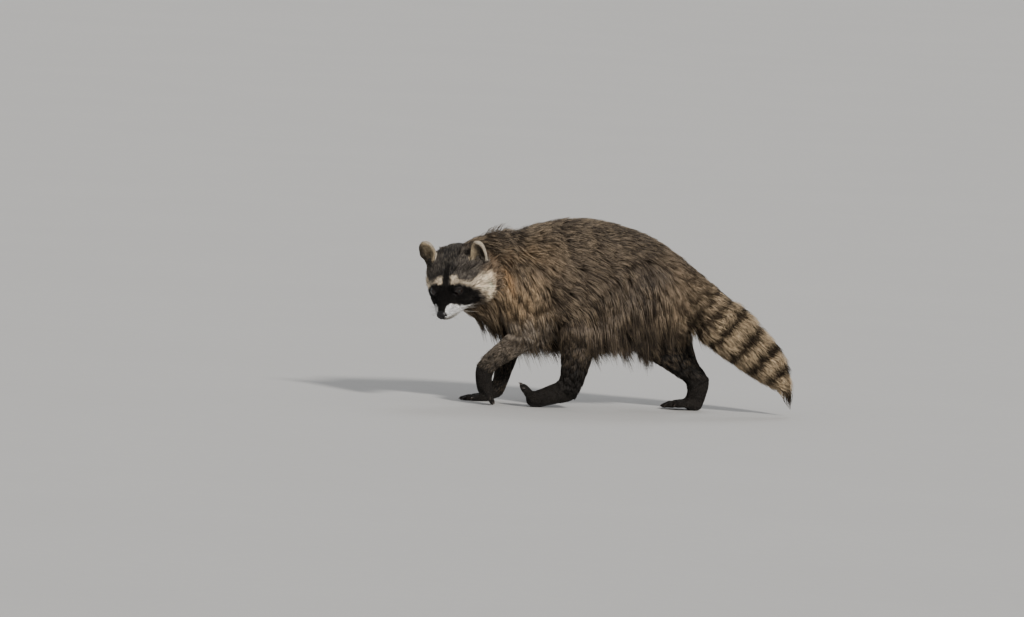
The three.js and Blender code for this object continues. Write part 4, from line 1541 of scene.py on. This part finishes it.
def build_nose():
    face = bpy.context.scene.raccoon_face
    nose = merged_copy("nose_pad", ["nose"])
    apply_modifier(nose, "DISPLACE", strength=0.0003, mid_level=0.0)
    remesh(nose, face.nose_grain)
    mesh = nose.data
    net = Net(mesh)
    points = net.even(points_of(mesh), 14)
    move_points(mesh, points)
    normals = normals_of(mesh)
    centre = HEAD.local(middle("nose")[None])[0]
    ahead, left, up = (HEAD.local(points) - centre).T
    side = np.abs(left)
    hole = peak(side, 4.4, 1.7) * peak(up + 0.25 * (side - 4.4), -0.4, 1.3) * ease(0.5, 3, ahead)
    slit = peak(side, 7.6, 2.0) * peak(up, -1.6, 0.9) * ease(-3, 1, ahead)
    groove = peak(side, 0, 0.8) * ease(1, 3, ahead) * ease(2.5, -1, up)
    wing = peak(side, 6.6, 2.4) * peak(up, 0, 3.2) * ease(-1, 3, ahead)
    push = 0.0007 * wing - 0.0032 * hole - 0.0014 * slit - 0.0009 * groove
    move_points(mesh, points + normals * push[:, None])
    pick(nose)
    bpy.ops.object.shade_smooth()
    settle(nose, nose_material(), "nose", "nose")


def curved_horn(name, start, end, radius=2.0, sink=3.0, rings=6, droop=0.18, thin=0.06):
    """A horn that tapers from start to end and bends down on its way; its root is sunk behind start."""
    start, end = start * MM, end * MM
    run = end - start
    size = np.linalg.norm(run)
    ahead = run / size
    down = np.array([0, 0, -1.0])
    down = unit(down - ahead * (down @ ahead))
    across = np.cross(ahead, down)
    clear_selection()
    bpy.ops.mesh.primitive_cone_add(vertices=8, radius1=1.0, radius2=0.15, depth=1.0, end_fill_type="TRIFAN")
    horn = bpy.context.object
    horn.name = name
    edit_all()
    bpy.ops.mesh.bisect(plane_co=(0, 0, 0.49), plane_no=(0, 0, 1))
    for step in range(1, rings):
        bpy.ops.mesh.select_all(action="SELECT")
        bpy.ops.mesh.bisect(plane_co=(0, 0, step / rings - 0.5), plane_no=(0, 0, 1))
    leave_edit()
    points = points_of(horn.data)
    t = points[:, 2] + 0.5
    girth = np.linalg.norm(points[:, :2], axis=1)
    way = points[:, :2] / np.maximum(girth, 1e-9)[:, None]
    girth = girth / (1 - 0.85 * t)
    taper = radius * MM * (1 - t) ** 0.65 + thin * MM * t
    place = start - ahead * sink * MM + np.outer(t, ahead) * (size + sink * MM)
    bow = np.sin(np.clip(t, 0, 1) * math.pi) * droop * size
    place = place - np.outer(bow, down)
    ring = np.outer(way[:, 0] * girth * taper * 0.8, across) + np.outer(way[:, 1] * girth * taper, down)
    move_points(horn.data, place + ring)
    keep(horn.data, "along", t)
    edit_all()
    bpy.ops.mesh.remove_doubles(threshold=0.00001)
    bpy.ops.mesh.normals_make_consistent(inside=False)
    leave_edit()
    bpy.ops.object.shade_smooth()
    return horn


def build_claws():
    material = claw_material()
    for paw, digits in DIGITS.items():
        horns = []
        for number, (tip, nail) in enumerate(digits):
            tip, nail = np.array(tip), np.array(nail)
            ahead = unit(nail - tip)
            end = tip + ahead * CLAW_END
            end[2] = max(end[2], 1.2)
            start = tip + ahead * CLAW_START + np.array([0, 0, CLAW_RISE])
            horns.append(curved_horn(f"{paw}_claw_{number}", start, end))
        claws = join(horns, f"{paw}_claws")
        settle(claws, material, "leg_coat")


def build_whiskers():
    rng = np.random.default_rng(WHISKER_SEED)
    mesh = built_skin().data
    corners = read(mesh.loops, "vertex_index", 1, np.int32).reshape(-1, 3)
    surface = BVHTree.FromPolygons(points_of(mesh).tolist(), corners.tolist())
    paths = []
    for sign in (1, -1):
        for row in range(WHISKER_ROWS):
            for place in range(WHISKER_PLACES):
                ahead = 31 - place * 4.5 + rng.uniform(-1, 1)
                local = np.array([ahead, sign * (11 + place * 3.0), -24 - row * 2.6 + place * 0.6])
                root = surface.find_nearest(HEAD.world(local).tolist())[0]
                way = HEAD.turn([[0.15 - 0.25 * place, sign * 1.0, -0.15 - 0.16 * row]])[0]
                reach = rng.uniform(22, 34) * (0.75 + 0.12 * place) * MM
                way = unit(way + rng.normal(size=3) * 0.08)
                root = np.array(root) - way * 0.001
                bend = root + way * reach * 0.5
                tip = root + way * reach + HEAD.turn([[-0.22, 0, -0.18]])[0] * reach
                paths.append((root, bend, tip))
    path = np.array(paths).transpose(1, 0, 2)
    up = np.tile(HEAD.up, (len(paths), 1))
    whiskers = tuft_mesh("whiskers", path, up, np.full(len(paths), WHISKER_WIDTH * MM), 2, 0.0)[0]
    settle(whiskers, whisker_material(), "head_coat")


# ---------------------------------------------------------------- stage


def add_sun(name, way, spread, strength, tone):
    """An even light from far off; way points to it, spread is how broad it is in degrees."""
    clear_selection()
    bpy.ops.object.light_add(type="SUN")
    light = bpy.context.object
    light.name = name
    light.data.angle = math.radians(spread)
    light.data.energy = strength
    light.data.color = tone
    light.location = Vector(way) * 5
    light.rotation_euler = (-light.location).to_track_quat("-Z", "Y").to_euler()


def build_stage():
    settings = bpy.context.scene.raccoon_stage
    clear_selection()
    bpy.ops.mesh.primitive_circle_add(vertices=96, radius=60.0, fill_type="NGON", location=(0, 0, 0))
    floor = bpy.context.object
    floor.name = "floor"
    edit_all()
    bpy.ops.mesh.inset(thickness=40.0)
    leave_edit()
    wear(floor, floor_material(tuple(settings.floor)))

    world = bpy.data.worlds.new("studio")
    world.use_nodes = True
    sky = world.node_tree.nodes["Background"]
    sky.inputs["Color"].default_value = (0.98, 0.99, 1.0, 1)
    sky.inputs["Strength"].default_value = 0.50
    bpy.context.scene.world = world
    for name, light in LIGHTS.items():
        add_sun(name, *light)

    clear_selection()
    bpy.ops.object.camera_add()
    camera = bpy.context.object
    e, roll = settings.elevation, settings.roll
    right = Vector((math.cos(roll), math.sin(roll) * math.sin(e), math.sin(roll) * math.cos(e)))
    up = Vector((-math.sin(roll), math.cos(roll) * math.sin(e), math.cos(roll) * math.cos(e)))
    back = Vector((0, -math.cos(e), math.sin(e)))
    camera.rotation_euler = Matrix((right, up, back)).transposed().to_euler()
    camera.location = Vector(CAMERA_AIM) + back * settings.distance
    camera.data.lens = settings.lens
    camera.data.sensor_width = 36.0
    camera.data.clip_end = 400.0
    bpy.context.scene.camera = camera


# ---------------------------------------------------------------- operators and panel


class RACCOON_OT_skin(bpy.types.Operator):
    """Build the skin inside the solids, with lids, mouth and markings"""

    bl_idname = "raccoon.skin"
    bl_label = "Skin"

    def execute(self, context):
        build_skin()
        return {"FINISHED"}


class RACCOON_OT_coat(bpy.types.Operator):
    """Grow the coat of tufts over the skin"""

    bl_idname = "raccoon.coat"
    bl_label = "Coat"

    def execute(self, context):
        build_coat()
        turn_far_ear()
        return {"FINISHED"}


class RACCOON_OT_eyes(bpy.types.Operator):
    """Set the two eyeballs"""

    bl_idname = "raccoon.eyes"
    bl_label = "Eyes"

    def execute(self, context):
        build_eyes()
        return {"FINISHED"}


class RACCOON_OT_nose(bpy.types.Operator):
    """Model the nose pad and its nostrils"""

    bl_idname = "raccoon.nose"
    bl_label = "Nose"

    def execute(self, context):
        build_nose()
        return {"FINISHED"}


class RACCOON_OT_claws(bpy.types.Operator):
    """Model the claws of the four paws"""

    bl_idname = "raccoon.claws"
    bl_label = "Claws"

    def execute(self, context):
        build_claws()
        return {"FINISHED"}


class RACCOON_OT_whiskers(bpy.types.Operator):
    """Set the whiskers in the muzzle"""

    bl_idname = "raccoon.whiskers"
    bl_label = "Whiskers"

    def execute(self, context):
        build_whiskers()
        return {"FINISHED"}


class RACCOON_OT_stage(bpy.types.Operator):
    """Set the floor, the lights and the camera"""

    bl_idname = "raccoon.stage"
    bl_label = "Stage"

    def execute(self, context):
        build_stage()
        return {"FINISHED"}


STEPS = (
    RACCOON_OT_skin,
    RACCOON_OT_coat,
    RACCOON_OT_eyes,
    RACCOON_OT_nose,
    RACCOON_OT_claws,
    RACCOON_OT_whiskers,
    RACCOON_OT_stage,
)


class RACCOON_PT_build(bpy.types.Panel):
    """Sizes, colours and building steps of the raccoon"""

    bl_label = "Raccoon"
    bl_idname = "RACCOON_PT_build"
    bl_space_type = "VIEW_3D"
    bl_region_type = "UI"
    bl_category = "Raccoon"

    def draw(self, context):
        layout = self.layout
        for group in SETTINGS:
            box = layout.box()
            owner = getattr(context.scene, group)
            for name in SETTINGS[group].__annotations__:
                box.prop(owner, name)
        for step in STEPS:
            layout.operator(step.bl_idname)


SETTINGS = {
    "raccoon_coat": CoatSizes,
    "raccoon_colours": CoatColours,
    "raccoon_face": FaceSizes,
    "raccoon_stage": StageSettings,
}
CLASSES = (*SETTINGS.values(), *STEPS, RACCOON_PT_build)


def register():
    for cls in CLASSES:
        bpy.utils.register_class(cls)
    for name, group in SETTINGS.items():
        setattr(bpy.types.Scene, name, bpy.props.PointerProperty(type=group))


def unregister():
    for name in SETTINGS:
        delattr(bpy.types.Scene, name)
    for cls in reversed(CLASSES):
        bpy.utils.unregister_class(cls)


def main():
    register()
    for step in STEPS:
        area, name = step.bl_idname.split(".")
        getattr(getattr(bpy.ops, area), name)()


if __name__ == "__main__":
    main()
